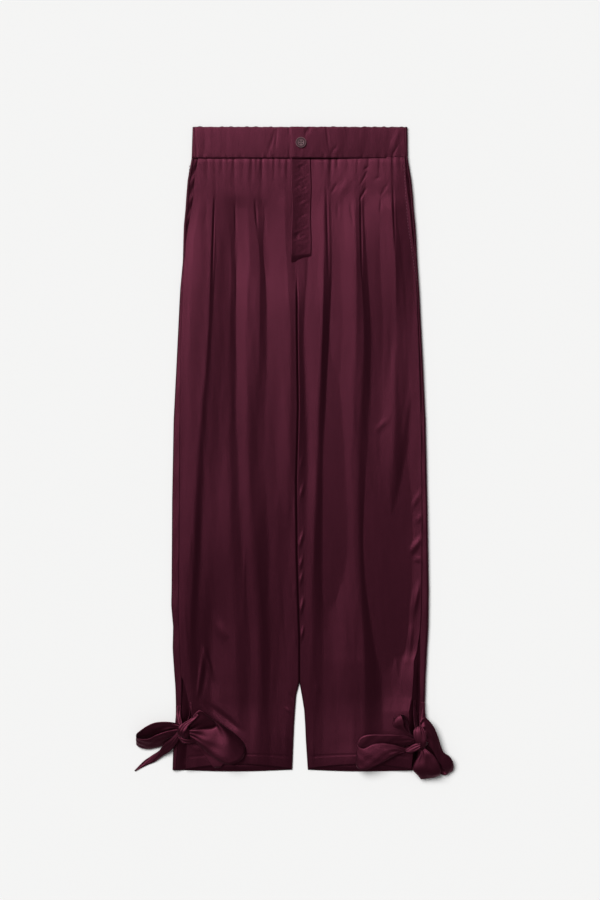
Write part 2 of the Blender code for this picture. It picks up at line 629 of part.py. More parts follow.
def add_waistband_front(frame):
    """The two front pieces of the waistband: the right one laps over the left one."""
    base = CLOTH + GATHER_HEIGHT + GAP + CREASE_ROOM + BAND_WALL / 2
    lap_height = BAND_WALL + GAP
    downs = (0.0, 0.0125, 0.025, 0.0375, BAND_HEIGHT)
    end_gap = EDGE_RADIUS + CLOTH / 2 + BAND_LIP + GAP
    left_grid = []
    right_grid = []
    for down in downs:
        left, right = band_outline(down)
        start = left + end_gap
        columns = [start + (UNDERLAP_END - start) * step / 30 for step in range(31)]
        left_grid.append([(x, down, base - band_crease(x, down) * float(x < FLY_LEFT)) for x in columns])
        end = right - end_gap
        columns = [FLY_LEFT, -0.0070, 0.0010, 0.0080, LAP_SLOPE_START, 0.0160, 0.0200, LAP_SLOPE_END]
        columns += [LAP_FLAT + (end - LAP_FLAT) * step / 24 for step in range(25)]
        row = []
        for x in columns:
            lap = lap_height * (1 - smoothstep((x - LAP_SLOPE_START) / (LAP_SLOPE_END - LAP_SLOPE_START)))
            row.append((x, down, base + lap - band_crease(x, down) * float(x > LAP_FLAT)))
        right_grid.append(row)
    add_sheet("waistband_front_left", left_grid, BAND_WALL, frame)
    add_sheet("waistband_front_right", right_grid, BAND_WALL, frame)
    return base + lap_height + BAND_WALL / 2


def add_fly_placket(frame):
    """The topstitched fly strip, which lies on both front panels and is softly creased."""
    wall = CLOTH
    grid = []
    count = 14
    for step in range(count + 1):
        down = PANEL_TOP + (FLY_END - PANEL_TOP) * step / count
        wrinkle = 0.0005 * (0.5 + 0.5 * math.sin(2 * math.pi * step / 4.7 + 1.0)) * smoothstep(step / 2)
        row = []
        for column in range(6):
            x = FLY_LEFT + (FLY_RIGHT - FLY_LEFT) * column / 5
            under = max(leg_surface(x, down), FRONT_BASE + CLOTH / 2)
            row.append((x, down, under + GAP + wall / 2 + wrinkle * math.sin(math.pi * column / 5)))
        grid.append(row)
    add_sheet("fly_placket", grid, wall, frame)


def add_button(frame, seat):
    """A turned button with a raised rim and four holes."""
    profile = (
        (0.0, 0.0), (0.80, 0.0), (0.95, 0.12), (1.0, 0.45), (0.97, 0.85), (0.88, 1.0),
        (0.76, 0.92), (0.66, 0.62), (0.0, 0.55),
    )
    bm = bmesh.new()
    sides = 24
    rings = []
    for radius, height in profile:
        z = height * BUTTON_THICKNESS
        if radius == 0.0:
            rings.append([bm.verts.new((0.0, 0.0, z))])
            continue
        ring = []
        for side in range(sides):
            angle = 2 * math.pi * side / sides
            reach = radius * BUTTON_RADIUS
            ring.append(bm.verts.new((reach * math.cos(angle), reach * math.sin(angle), z)))
        rings.append(ring)
    for lower, upper in zip(rings[:-1], rings[1:]):
        for side in range(sides):
            after = (side + 1) % sides
            if len(lower) == 1:
                bm.faces.new((lower[0], upper[after], upper[side]))
            elif len(upper) == 1:
                bm.faces.new((lower[side], lower[after], upper[0]))
            else:
                bm.faces.new((lower[side], lower[after], upper[after], upper[side]))
    mesh = bpy.data.meshes.new("button")
    bm.to_mesh(mesh)
    bm.free()
    button = add_object("button", mesh, frame)
    button.location = (BUTTON_X, -BUTTON_DOWN, seat + GAP)
    for number in range(4):
        angle = math.radians(45 + 90 * number)
        cutter_mesh = bpy.data.meshes.new("button_hole_cutter")
        bm = bmesh.new()
        bmesh.ops.create_cone(bm, cap_ends=True, segments=10, radius1=BUTTON_HOLE_RADIUS,
                              radius2=BUTTON_HOLE_RADIUS, depth=3 * BUTTON_THICKNESS)
        bm.to_mesh(cutter_mesh)
        bm.free()
        cutter = bpy.data.objects.new("button_hole_cutter", cutter_mesh)
        bpy.context.collection.objects.link(cutter)
        cutter.parent = frame
        reach = BUTTON_HOLE_SPACING / math.sqrt(2)
        cutter.location = (BUTTON_X + reach * math.cos(angle), -BUTTON_DOWN + reach * math.sin(angle), seat)
        cut_away(button, cutter)


def cut_away(obj, cutter):
    """Cut one object by another, which is left as a hidden guide."""
    cutter.hide_render = True
    cutter.display_type = "WIRE"
    cut = obj.modifiers.new("cut", "BOOLEAN")
    cut.operation = "DIFFERENCE"
    cut.solver = "EXACT"
    cut.object = cutter


def knot_mesh(name, size, grow):
    """A pinched, slightly twisted ball of cloth, with every half size grown by a margin."""
    mesh = bpy.data.meshes.new(name)
    bm = bmesh.new()
    bmesh.ops.create_uvsphere(bm, u_segments=18, v_segments=10, radius=1.0)
    for vert in bm.verts:
        spot = vert.co.copy()
        turn = math.atan2(spot.y, spot.x) + 0.6 * spot.z
        pinch = 1.0 + 0.07 * math.cos(3 * turn) * (1 - spot.z * spot.z)
        vert.co = Vector((spot.x * pinch * (size.half_x + grow), spot.y * pinch * (size.half_y + grow),
                          spot.z * (size.half_z + grow)))
    bm.to_mesh(mesh)
    bm.free()
    return mesh


def add_knot(name, size, frame):
    """A knot, and the slightly larger cutter that clears the ribbons of it."""
    knot = add_object(name, knot_mesh(name, size, 0.0), frame)
    cutter = bpy.data.objects.new(name + "_cutter", knot_mesh(name + "_cutter", size, 1.3 * GAP))
    bpy.context.collection.objects.link(cutter)
    cutter.parent = frame
    for obj in (knot, cutter):
        obj.location = (size.x, -size.down, size.z)
    cutter.hide_render = True
    cutter.display_type = "WIRE"
    return cutter


def smooth_between(before, start, end, after, share):
    """A point of the smooth curve through four others."""
    square = share * share
    cube = square * share
    return 0.5 * (2 * start + (end - before) * share + (2 * before - 5 * start + 4 * end - after) * square
                  + (3 * start - before - 3 * end + after) * cube)


def ribbon_grid(rungs):
    """Rows of points (x, down, z) along a ribbon, resting on what lies under it."""
    firsts = [Vector((rung.x0, -rung.down0, rung.z0)) for rung in rungs]
    seconds = [Vector((rung.x1, -rung.down1, rung.z1)) for rung in rungs]
    last = len(rungs) - 1
    rows = []
    for index in range(last):
        picks = (max(index - 1, 0), index, index + 1, min(index + 2, last))
        count = RIBBON_STEPS + (1 if index == last - 1 else 0)
        for step in range(count):
            share = step / RIBBON_STEPS
            rows.append(tuple(smooth_between(*[edge[pick] for pick in picks], share) for edge in (firsts, seconds)))
    grid = []
    for index, (first, second) in enumerate(rows):
        after, before = rows[min(index + 1, len(rows) - 1)], rows[max(index - 1, 0)]
        along = (after[0] + after[1] - before[0] - before[1]) / 2
        width = second - first
        normal = along.cross(width).normalized()
        if normal.z < 0:
            normal.negate()
        row = []
        for column in range(RIBBON_COLUMNS + 1):
            share = column / RIBBON_COLUMNS
            bulge = RIBBON_CAMBER * width.length * 4 * share * (1 - share) * abs(normal.z)
            point = first + width * share + normal * bulge
            floor = leg_surface(point.x, -point.y)
            clear = SURFACE_CLEARANCE if floor > 0 else 0.0
            lowest = floor + clear + RIBBON_WALL / 2
            row.append((point.x, -point.y, max(point.z, lowest)))
        grid.append(row)
    return grid


def add_bow(name, knot_size, ribbons, frame):
    """One tied bow: its knot, two loops, two free ends and the two ties that hold it."""
    cutter = add_knot(name + "_knot", knot_size, frame)
    for part, rungs in ribbons.items():
        ribbon = add_sheet(name + "_" + part, ribbon_grid(rungs), RIBBON_WALL, frame)
        cut_away(ribbon, cutter)


def centre_frame(frame):
    """Move everything so that the origin is under the middle of the garment."""
    bpy.context.view_layer.update()
    depsgraph = bpy.context.evaluated_depsgraph_get()
    corners = []
    for obj in bpy.context.scene.objects:
        if obj.type == "MESH" and not obj.hide_render:
            shown = obj.evaluated_get(depsgraph)
            corners += [shown.matrix_world @ Vector(corner) for corner in shown.bound_box]
    low = [min(corner[axis] for corner in corners) for axis in range(3)]
    high = [max(corner[axis] for corner in corners) for axis in range(3)]
    frame.location = (-(low[0] + high[0]) / 2, -(low[1] + high[1]) / 2, -low[2])
    bpy.context.view_layer.update()


def build():
    """Build the trousers."""
    clear_scene()
    frame = bpy.data.objects.new("trousers", None)
    bpy.context.collection.objects.link(frame)
    for leg in LEGS:
        add_sheet("back_panel_" + leg.name, leg.back_points(), CLOTH, frame)
        add_sheet("front_panel_" + leg.name, leg.front_points(), CLOTH, frame)
        add_sheet("pocket_facing_" + leg.name, leg.facing_points(), FACING_WALL, frame)
    add_waistband_back(frame)
    seat = add_waistband_front(frame)
    add_fly_placket(frame)
    add_button(frame, seat)
    add_bow("left_bow", LEFT_KNOT, LEFT_BOW, frame)
    add_bow("right_bow", RIGHT_KNOT, RIGHT_BOW, frame)
    centre_frame(frame)


build()
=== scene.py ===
"""Pleated plum satin trousers with a bow at each ankle, laid out flat: fine cloth and finishes.

Metres, +Z up, +Y from the hems to the waist. A place on the garment is given as x to the
right and "down" from the top of the waistband; Layout turns it into the part's own frame.
"""

from __future__ import annotations

import json
import logging
import math
from dataclasses import dataclass, field
from enum import Enum
from typing import NamedTuple, Sequence

import bmesh
import bpy
import numpy as np
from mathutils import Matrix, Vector

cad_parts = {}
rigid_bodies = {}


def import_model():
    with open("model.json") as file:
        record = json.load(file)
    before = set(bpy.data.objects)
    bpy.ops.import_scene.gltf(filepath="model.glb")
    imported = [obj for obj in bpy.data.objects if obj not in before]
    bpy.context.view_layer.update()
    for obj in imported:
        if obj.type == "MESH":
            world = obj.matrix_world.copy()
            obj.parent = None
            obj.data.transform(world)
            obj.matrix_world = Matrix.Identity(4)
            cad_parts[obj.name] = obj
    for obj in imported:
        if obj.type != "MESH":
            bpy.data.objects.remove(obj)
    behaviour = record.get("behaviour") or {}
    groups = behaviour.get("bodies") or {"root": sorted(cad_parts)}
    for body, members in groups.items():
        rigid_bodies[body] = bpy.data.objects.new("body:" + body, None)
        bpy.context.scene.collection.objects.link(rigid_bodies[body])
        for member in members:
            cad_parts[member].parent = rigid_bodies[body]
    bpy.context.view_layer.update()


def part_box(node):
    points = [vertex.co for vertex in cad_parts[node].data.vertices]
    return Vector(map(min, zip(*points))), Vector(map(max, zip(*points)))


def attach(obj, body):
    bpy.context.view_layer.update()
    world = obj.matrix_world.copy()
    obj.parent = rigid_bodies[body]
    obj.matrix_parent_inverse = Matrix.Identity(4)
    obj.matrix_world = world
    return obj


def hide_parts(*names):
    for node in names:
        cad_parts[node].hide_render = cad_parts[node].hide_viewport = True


LOG = logging.getLogger("trousers")
Number = float | np.ndarray

# Thicknesses of cloth, and the floor's distance under it.
CLOTH = 0.0005
BAND_CLOTH = 0.0016
RIBBON_CLOTH = 0.0006
FLOOR_DROP = 0.0003
MILLIMETRE = 0.001

# Heights down the garment from the top of the waistband.
BAND_HEIGHT = 0.050
PANEL_TOP = 0.0470
TUCK_END = 0.125
POCKET_END = 0.200
HIP = 0.213
FLY_END = 0.215
THIGH = 0.325
KNEE = 0.565
CALF = 0.821
HEM = 1.0275
BACK_HEM = 1.0290

# The button's place in the frame, and the fly's sides.
BUTTON_X = 0.0016
BUTTON_DOWN = 0.024
FLY_LEFT = -0.0140
FLY_RIGHT = 0.0180

# Heights of the front cloth above the surface: as a rule, at least, and at the pocket.
FRONT_BASE = 0.0024
LOWEST_FRONT = 0.0011
POCKET_RISE = 0.0016


class SideRow(NamedTuple):
    """Outline, end of the back's turned edge, and front's outer edge at one height."""

    down: float
    outline: float
    seam: float
    front: float


class CentreRow(NamedTuple):
    """The line between the legs and the gap across it at one height."""

    down: float
    x: float
    gap: float


class Facet(NamedTuple):
    """A stretch of cloth that runs down a leg between two fold lines.

    start is its left fold line's x in millimetres at each station, empty at the panel's left
    edge. lean is its slope in degrees there: above 0 it rises to the right and faces left.
    soft is how many millimetres its fold line is rounded over.
    """

    name: str
    start: tuple[float, ...]
    lean: tuple[float, ...]
    soft: float


class Gather(NamedTuple):
    """A short dip under the waistband where the cloth is drawn in.

    lean is how far it moves to the right for each metre down.
    """

    x: float
    length: float
    depth: float
    lean: float


class Crease(NamedTuple):
    """A soft ridge (height above 0) or trough (below 0) from one place to another."""

    x0: float
    down0: float
    x1: float
    down1: float
    width: float
    height: float


class FlatSpot(NamedTuple):
    """A place where the cloth is pulled flat, within an inner and out to an outer radius."""

    x: float
    down: float
    inner: float
    outer: float


class StitchRow(NamedTuple):
    """A place that a line of topstitching runs through."""

    down: float
    x: float


class Rung(NamedTuple):
    """A line across a ribbon: the places of the ribbon's two edges."""

    x0: float
    down0: float
    z0: float
    x1: float
    down1: float
    z1: float


class KnotSize(NamedTuple):
    """Centre and half sizes of a knot."""

    x: float
    down: float
    z: float
    half_x: float
    half_y: float
    half_z: float


class RimRow(NamedTuple):
    """A ring of a button, as shares of its radius and of its thickness."""

    reach: float
    height: float


class Waves(NamedTuple):
    """Soft random waves: their height, and the shortest and longest across and along."""

    height: float
    widths: tuple[float, float]
    lengths: tuple[float, float]
    number: int = 9

    def relief(self, x: np.ndarray, down: np.ndarray, seed: int) -> np.ndarray:
        """Height of the waves at each place.

        Args:
            x: places across.
            down: places along.
            seed: which set of waves.

        Returns:
            The heights, from minus to plus the waves' own or a little over.
        """
        draw = np.random.default_rng(seed)
        total = np.zeros(np.broadcast(x, down).shape)
        for _ in range(self.number):
            across = 2 * math.pi / draw.uniform(*self.widths)
            along = 2 * math.pi / draw.uniform(*self.lengths) * draw.choice((-1.0, 1.0))
            total += np.sin(across * x + along * down + draw.uniform(0, 2 * math.pi))
        return self.height * (total / math.sqrt(self.number))


def millimetres(kind: type, *rows: tuple[float, ...]) -> tuple:
    """Make a table from rows of plain numbers in millimetres.

    Args:
        kind: the kind of row.
        rows: each row's numbers, in the order of the kind's fields.

    Returns:
        The table, in metres.
    """
    return tuple(kind(*(value / 1000 for value in row)) for row in rows)


# Where a facet's fold line and lean are given, from the waistband to the hem.
FACET_STATIONS = (BAND_HEIGHT, TUCK_END, 0.197, THIGH, 0.517, 0.677, CALF, HEM)

LEFT_SIDE = millimetres(
    SideRow,
    (50, -173.6, -170.5, -163), (85, -180, -176.5, -168.8), (109, -182, -178.5, -170.4),
    (133, -183.6, -180, -173.6), (157, -186, -182.4, -178.4), (181, -186.8, -183.2, -181.5),
    (213, -187.5, -183.7, -183.4), (261, -192, -187, -186.7), (373, -197.5, -189.8, -189.5),
    (469, -202.4, -190.8, -190.5), (597, -204.8, -191.3, -191), (740, -205.7, -192.5, -192.2),
    (765, -206.3, -193.3, -193), (800, -203.2, -192.5, -192.2), (836, -204, -191, -190.7),
    (878, -201.1, -189, -188.7), (896, -199.6, -188.7, -183.2), (919, -198.9, -189.3, -178.2),
    (941, -198.9, -190.2, -174), (965, -201, -191, -175), (990, -203, -196, -181),
    (1027.5, -204.2, -199, -183.2),
)

RIGHT_SIDE = millimetres(
    SideRow,
    (50, 172.8, 169.8, 167.5), (85, 178.6, 175.5, 169.6), (109, 181, 178, 172.5), (133, 182.6, 179.6, 176),
    (157, 185, 182, 178), (181, 186.5, 183.3, 180.5), (213, 188, 184, 183.7), (261, 191.2, 186.4, 186.1),
    (373, 196.8, 190.3, 190), (469, 201.2, 193.3, 193), (597, 204, 194.8, 194.5), (741, 206.3, 194.3, 194),
    (798, 205.7, 192.5, 192), (816, 204.8, 191.2, 189.8), (838, 203.4, 190.7, 187.8),
    (855, 202.7, 190.5, 182.2), (878, 201.4, 190.3, 181.5), (912, 200.4, 190.5, 179),
    (935, 200, 189.5, 174), (965, 199, 189, 176), (990, 197.5, 188.5, 181.5), (1027.5, 194, 186, 178),
)

CENTRE = millimetres(
    CentreRow,
    (50, -4.8, 0), (325, -4.8, 0), (450, -3, 0), (565, -6, 0), (690, -5, 0), (821, -1, 0), (889, -0.8, 0),
    (909, -1.6, 9), (933, -0.6, 14.8), (957, -0.6, 18), (981, -0.6, 20), (1027.5, 0, 25),
)

LEFT_FACETS = (
    Facet("side", (), (2, 4, 5.5, 7, 2.4, 5.8, 5.2, 2.2), 0),
    Facet("side_body", (-156.8, -160.0, -172.8, -176.0, -179.2, -182.4, -185.6, -169.6),
          (0, 1.4, 1.4, 1.2, 4.8, 3.4, 2.6, 0), 4),
    Facet("side_pleat", (-140.8, -140.0, -142.4, -146.4, -161.6, -169.6, -176.0, -166.4),
          (0, -7.2, -10, -12.1, -10.8, -18.4, -13, -2.2), 0.8),
    Facet("outer_flat", (-134.4, -135.2, -135.2, -140.8, -152.8, -159.2, -164.8, -153.6),
          (1.4, 1.4, -2.9, -2.4, 0, 1.7, -3.9, 2.2), 2),
    Facet("outer_body", (-121.6, -121.6, -121.6, -121.6, -129.6, -134.4, -140.8, -137.6),
          (1.4, 0, -1.4, -2.4, 0, 1.7, 9.1, 3.3), 5),
    Facet("outer_pleat", (-110.4, -115.2, -110.4, -112.0, -110.4, -109.6, -104.0, -102.4),
          (1.4, -0.7, -5, -7.3, -4.8, -5.8, -1.3, 2.2), 3),
    Facet("middle_crest", (-104.0, -104.0, -102.4, -102.4, -100.8, -90.4, -79.2, -83.2),
          (4.1, 4.3, 7.2, 4.8, 4.2, 2.9, 6.5, 3.3), 0.8),
    Facet("middle_body", (-83.2, -83.2, -81.6, -86.4, -82.4, -76.8, -64.8, -70.4),
          (1.4, 1.4, 0, 1.2, -3, -5.8, -5.2, 3.3), 4),
    Facet("inner_pleat", (-70.4, -75.2, -65.6, -64.8, -67.2, -69.6, -62.4, -57.6),
          (0, 0.7, -5.7, -5.5, -1.8, -10.3, -7.8, 2.2), 1.5),
    Facet("inner_rise", (-59.2, -60.8, -56.8, -52.8, -56.0, -51.2, -49.6, -48.0),
          (3.4, 4.3, 5.7, 4.3, 1.2, 2.9, 0, 4.4), 2),
    Facet("inner_crest", (-41.6, -41.6, -33.6, -27.2, -38.4, -37.6, -33.6, -33.6),
          (1.4, 4.3, 5.7, 3.6, 4.8, -1.7, 5.2, 5.5), 4),
    Facet("inner_edge", (-22.4, -24.0, -22.4, -15.2, -15.2, -20.8, -16.0, -20.8),
          (0, 0, 0, -1.2, -3, 0, 3.9, 2.2), 3),
)

RIGHT_FACETS = (
    Facet("inner_edge", (), (-2, -1.4, 1.4, -4.8, -8.4, -1.9, -0.6, 2), 0),
    Facet("inner_crest", (12.8, 12.8, 12.8, 6.4, 12.8, 8.0, 6.4, 16.0),
          (3.4, 5.1, 7.2, 5.5, 4.8, 3.8, 2.8, 0), 3),
    Facet("inner_pleat", (40.0, 38.4, 38.4, 36.0, 28.8, 22.4, 19.2, 25.6),
          (0, -2.9, -2.9, -14.5, -13.2, -13.8, -5.5, -4), 0.8),
    Facet("middle_rise", (56.0, 49.6, 51.2, 47.2, 44.8, 42.0, 36.0, 40.0),
          (4.1, 2.9, 5.7, 6.1, -1.2, 1.2, 2.8, 2), 1),
    Facet("middle_crest", (65.6, 68.8, 70.4, 67.2, 57.6, 60.0, 58.0, 57.6),
          (5.4, 5.1, 7.9, 7.9, 7.8, 5.6, 3.9, 1), 4),
    Facet("middle_fall", (89.6, 88.0, 89.6, 89.6, 83.2, 86.0, 88.0, 86.4),
          (2.7, -1.4, -1.4, 0, -1.2, 0, 0.6, -2), 4),
    Facet("outer_pleat", (102.4, 94.4, 96.0, 102.4, 94.4, 96.0, 102.4, 104.0),
          (1.4, -5.8, -5.7, -10.9, -8.4, -13.8, -13.2, -9), 1.2),
    Facet("outer_flat", (108.8, 102.4, 105.6, 113.6, 108.8, 105.6, 123.2, 137.6),
          (4.7, 5.1, 2.2, 0.7, 1.8, 0, -1.1, 0), 2),
    Facet("outer_crest", (124.8, 128.0, 128.0, 132.8, 128.0, 132.8, 145.6, 147.2),
          (4.1, 4.3, 7.9, 4.8, 4.2, 0, 3.3, 0), 3),
    Facet("pocket_pleat", (145.6, 146.4, 152.0, 153.6, 150.4, 145.6, 160.0, 156.8),
          (0, -5.8, -5.7, 1.2, -6, -5.6, 3.3, -3), 1.5),
    Facet("pocket_body", (160.0, 153.6, 161.6, 171.2, 172.8, 160.0, 163.2, 163.2),
          (-3, -3, -1.1, 3.6, 4.8, 3.8, 6.6, 4), 2),
    Facet("side", (166.4, 169.6, 179.2, 179.2, 182.4, 171.2, 172.8, 172.8),
          (1.4, 2.9, 2.9, 4.3, 6, 10, 8.8, 0), 2),
)

LEFT_GATHERS = millimetres(
    Gather,
    (-166.4, 30, 0.22, 20), (-148, 60, 0.27, -30), (-136, 40, 0.19, 20), (-124.8, 50, 0.27, 0),
    (-115, 28, 0.16, 20), (-105.6, 60, 0.29, 10), (-90.4, 60, 0.27, 0), (-76.8, 50, 0.38, -20),
    (-69, 26, 0.2, 0), (-61, 70, 0.4, 10), (-49, 36, 0.26, 20), (-41, 60, 0.34, -10), (-30, 40, 0.28, -30),
    (-20, 60, 0.32, -20),
)

RIGHT_GATHERS = millimetres(
    Gather,
    (23, 50, 0.22, 0), (38, 40, 0.24, 20), (50, 60, 0.59, -40), (60, 28, 0.4, -20), (76.8, 50, 0.27, 0),
    (86, 26, 0.19, 20), (92.8, 40, 0.24, -50), (110.4, 30, 0.22, -100), (128, 50, 0.27, -20),
    (138, 26, 0.16, 0), (149, 64, 0.35, 0), (160, 30, 0.19, 20),
)

LEFT_CREASES = millimetres(
    Crease,
    (-149.6, 117, -151, 180, 1.4, -0.3), (-136.8, 117, -140, 240, 1.3, -0.6),
    (-104, 121, -102.4, 190, 1.3, -0.4), (-71.6, 116, -69, 158, 1.4, -0.6),
    (-57.1, 128, -54.8, 240, 1.3, -0.6), (-131.8, 792, -118, 822, 6.5, 0.9),
    (-154.5, 833, -140, 880, 3, 1.6), (-153.5, 836, -163, 905, 2.6, 1.3), (-149, 850, -156, 905, 3, -0.9),
    (-146, 925, -95, 966, 4.5, -1.4), (-156, 925, -128, 968, 3, 0.55), (-185, 760, -180, 850, 3, 0.33),
    (-174, 640, -178, 720, 2.6, 0.28), (-88, 660, -90, 800, 1.8, 0.28), (-30, 700, -20, 860, 4, -0.28),
    (-18, 905, -11, 918, 2, -0.44), (-24, 930, -13, 936, 2.2, 0.33), (-29, 968, -18, 985, 3, 0.28),
    (-9.5, 596, -8, 640, 1.2, 0.33), (-9.5, 735, -7.5, 750, 1.6, 0.39), (-9, 812, -6.5, 832, 1.6, 0.33),
    (-150, 1000, -130, 1012, 4, 0.33), (-172, 992, -156, 998, 2.8, 0.33),
)

RIGHT_CREASES = millimetres(
    Crease,
    (42.4, 100, 45.6, 240, 1.3, -0.6), (60.8, 120, 60, 146, 1.3, -0.4), (80.8, 120, 85, 155, 1.3, -0.5),
    (97, 108, 99, 240, 1.3, -0.6), (129, 117, 128.6, 138, 1.3, -0.4), (149, 94, 152, 200, 1.4, -0.4),
    (107.2, 73, 96.8, 92, 1.8, -0.32), (107.2, 96, 93.5, 120, 1.8, -0.38), (141, 89, 129, 110, 1.2, -0.4),
    (59.2, 90, 51.2, 105, 2, -0.4), (110, 64, 102, 68, 1.6, -0.4), (128, 80, 120, 84, 2, -0.3),
    (78, 83, 64, 110, 5, 0.3), (140.8, 466, 121.6, 486, 3.4, 0.5), (194, 584, 178, 610, 2.6, 0.7),
    (194, 622, 186, 632, 2.2, 0.8), (193.5, 658, 174, 684, 3, 1.8), (174, 684, 169, 716, 3.4, 1.2),
    (193, 690, 184, 694, 1.8, 1), (190, 732, 179, 785, 3.6, 2.1), (179, 785, 174, 850, 3.8, 1.4),
    (172, 690, 168, 760, 4, 0.8), (176, 760, 156, 900, 5, -0.49), (150, 840, 162, 900, 3, 0.33),
    (25, 893, 32, 906, 3, 0.44), (19, 985, 22, 1020, 2.6, 0.44), (6, 573, 0, 592, 2, 0.9),
    (5, 650, -1, 670, 2, 1.1), (4, 690, -0.5, 704, 1.8, 1), (4.5, 714, -0.5, 730, 1.8, 0.9),
    (5.5, 756, 0, 778, 2.2, 1.2), (6, 800, 1, 820, 2, 0.9), (4, 530, 0, 545, 1.6, 0.7),
    (125, 990, 95, 1004, 4.5, 0.33), (148, 300, 142, 420, 5, -0.33), (176, 420, 166, 500, 4, 0.33),
    (174, 500, 160, 580, 5, -0.33),
)

BAND_CREASES = millimetres(
    Crease,
    (-50, 40, -40, 6, 2.2, -0.3), (-40, 36, -36, 0, 2, -0.3), (-17.5, -2, -17, 14, 1.2, -0.4),
    (-17.5, 30, -16.5, 52, 1.4, -0.3), (8, 16, 13, 0, 2.8, -0.3), (14, 10, 15, -2, 1.4, -0.3),
    (41.6, -2, 46.4, 34, 1.2, -0.3), (50, 42, 59, 30, 1.8, -0.25), (160, 4, 144, 40, 3.4, 0.2),
    (156, 30, 146, 50, 1.4, -0.4), (-166, 20, -165, 52, 1.6, -0.3), (-150, 10, -152, 52, 5, -0.2),
)

FLY_CREASES = millimetres(
    Crease,
    (-1, 62, 4, 70, 3.6, -0.28), (-6, 92, 1, 96, 4, -0.22), (5, 94, 9, 98, 3.4, -0.28),
    (-4, 112, 7, 120, 5.4, -0.28), (-2, 136, 8, 143, 5, -0.22), (-11, 146, -8, 164, 2.6, 0.2),
    (-9, 173, -1, 175, 4.2, -0.6), (-6, 186, 6, 189, 3.4, 0.2), (-12, 200, -7, 206, 3, -0.28),
    (-11, 216.5, 11, 210.5, 1.8, -0.9),
)

LEFT_STITCHES = millimetres(StitchRow, (62, -176.4), (142, -183.5), (205, -186.8))
RIGHT_STITCHES = millimetres(
    StitchRow,
    (62, 166.2), (104, 169.0), (152, 172.2), (184, 177.0), (232, 184.0), (246, 187.2),
)

FLAT_SPOTS = millimetres(FlatSpot, (-170, 968, 15, 90), (172, 975, 15, 90))
LEFT_KNOT, RIGHT_KNOT = millimetres(
    KnotSize,
    (-185.5, 966.1, 14.5, 12.0, 14.0, 7.5), (193.2, 979.0, 15.5, 11.5, 19.0, 8.0),
)

BUTTON_PROFILE = tuple(RimRow(*row) for row in (
    (0.0, 0.0), (0.60, 0.0), (0.80, 0.02), (0.92, 0.10), (0.985, 0.28), (1.0, 0.50), (0.99, 0.72),
    (0.97, 0.90), (0.93, 0.99), (0.89, 0.99), (0.85, 0.88), (0.82, 0.70), (0.76, 0.62), (0.71, 0.68),
    (0.66, 0.82), (0.61, 0.84), (0.56, 0.74), (0.50, 0.60), (0.30, 0.52), (0.0, 0.50),
))

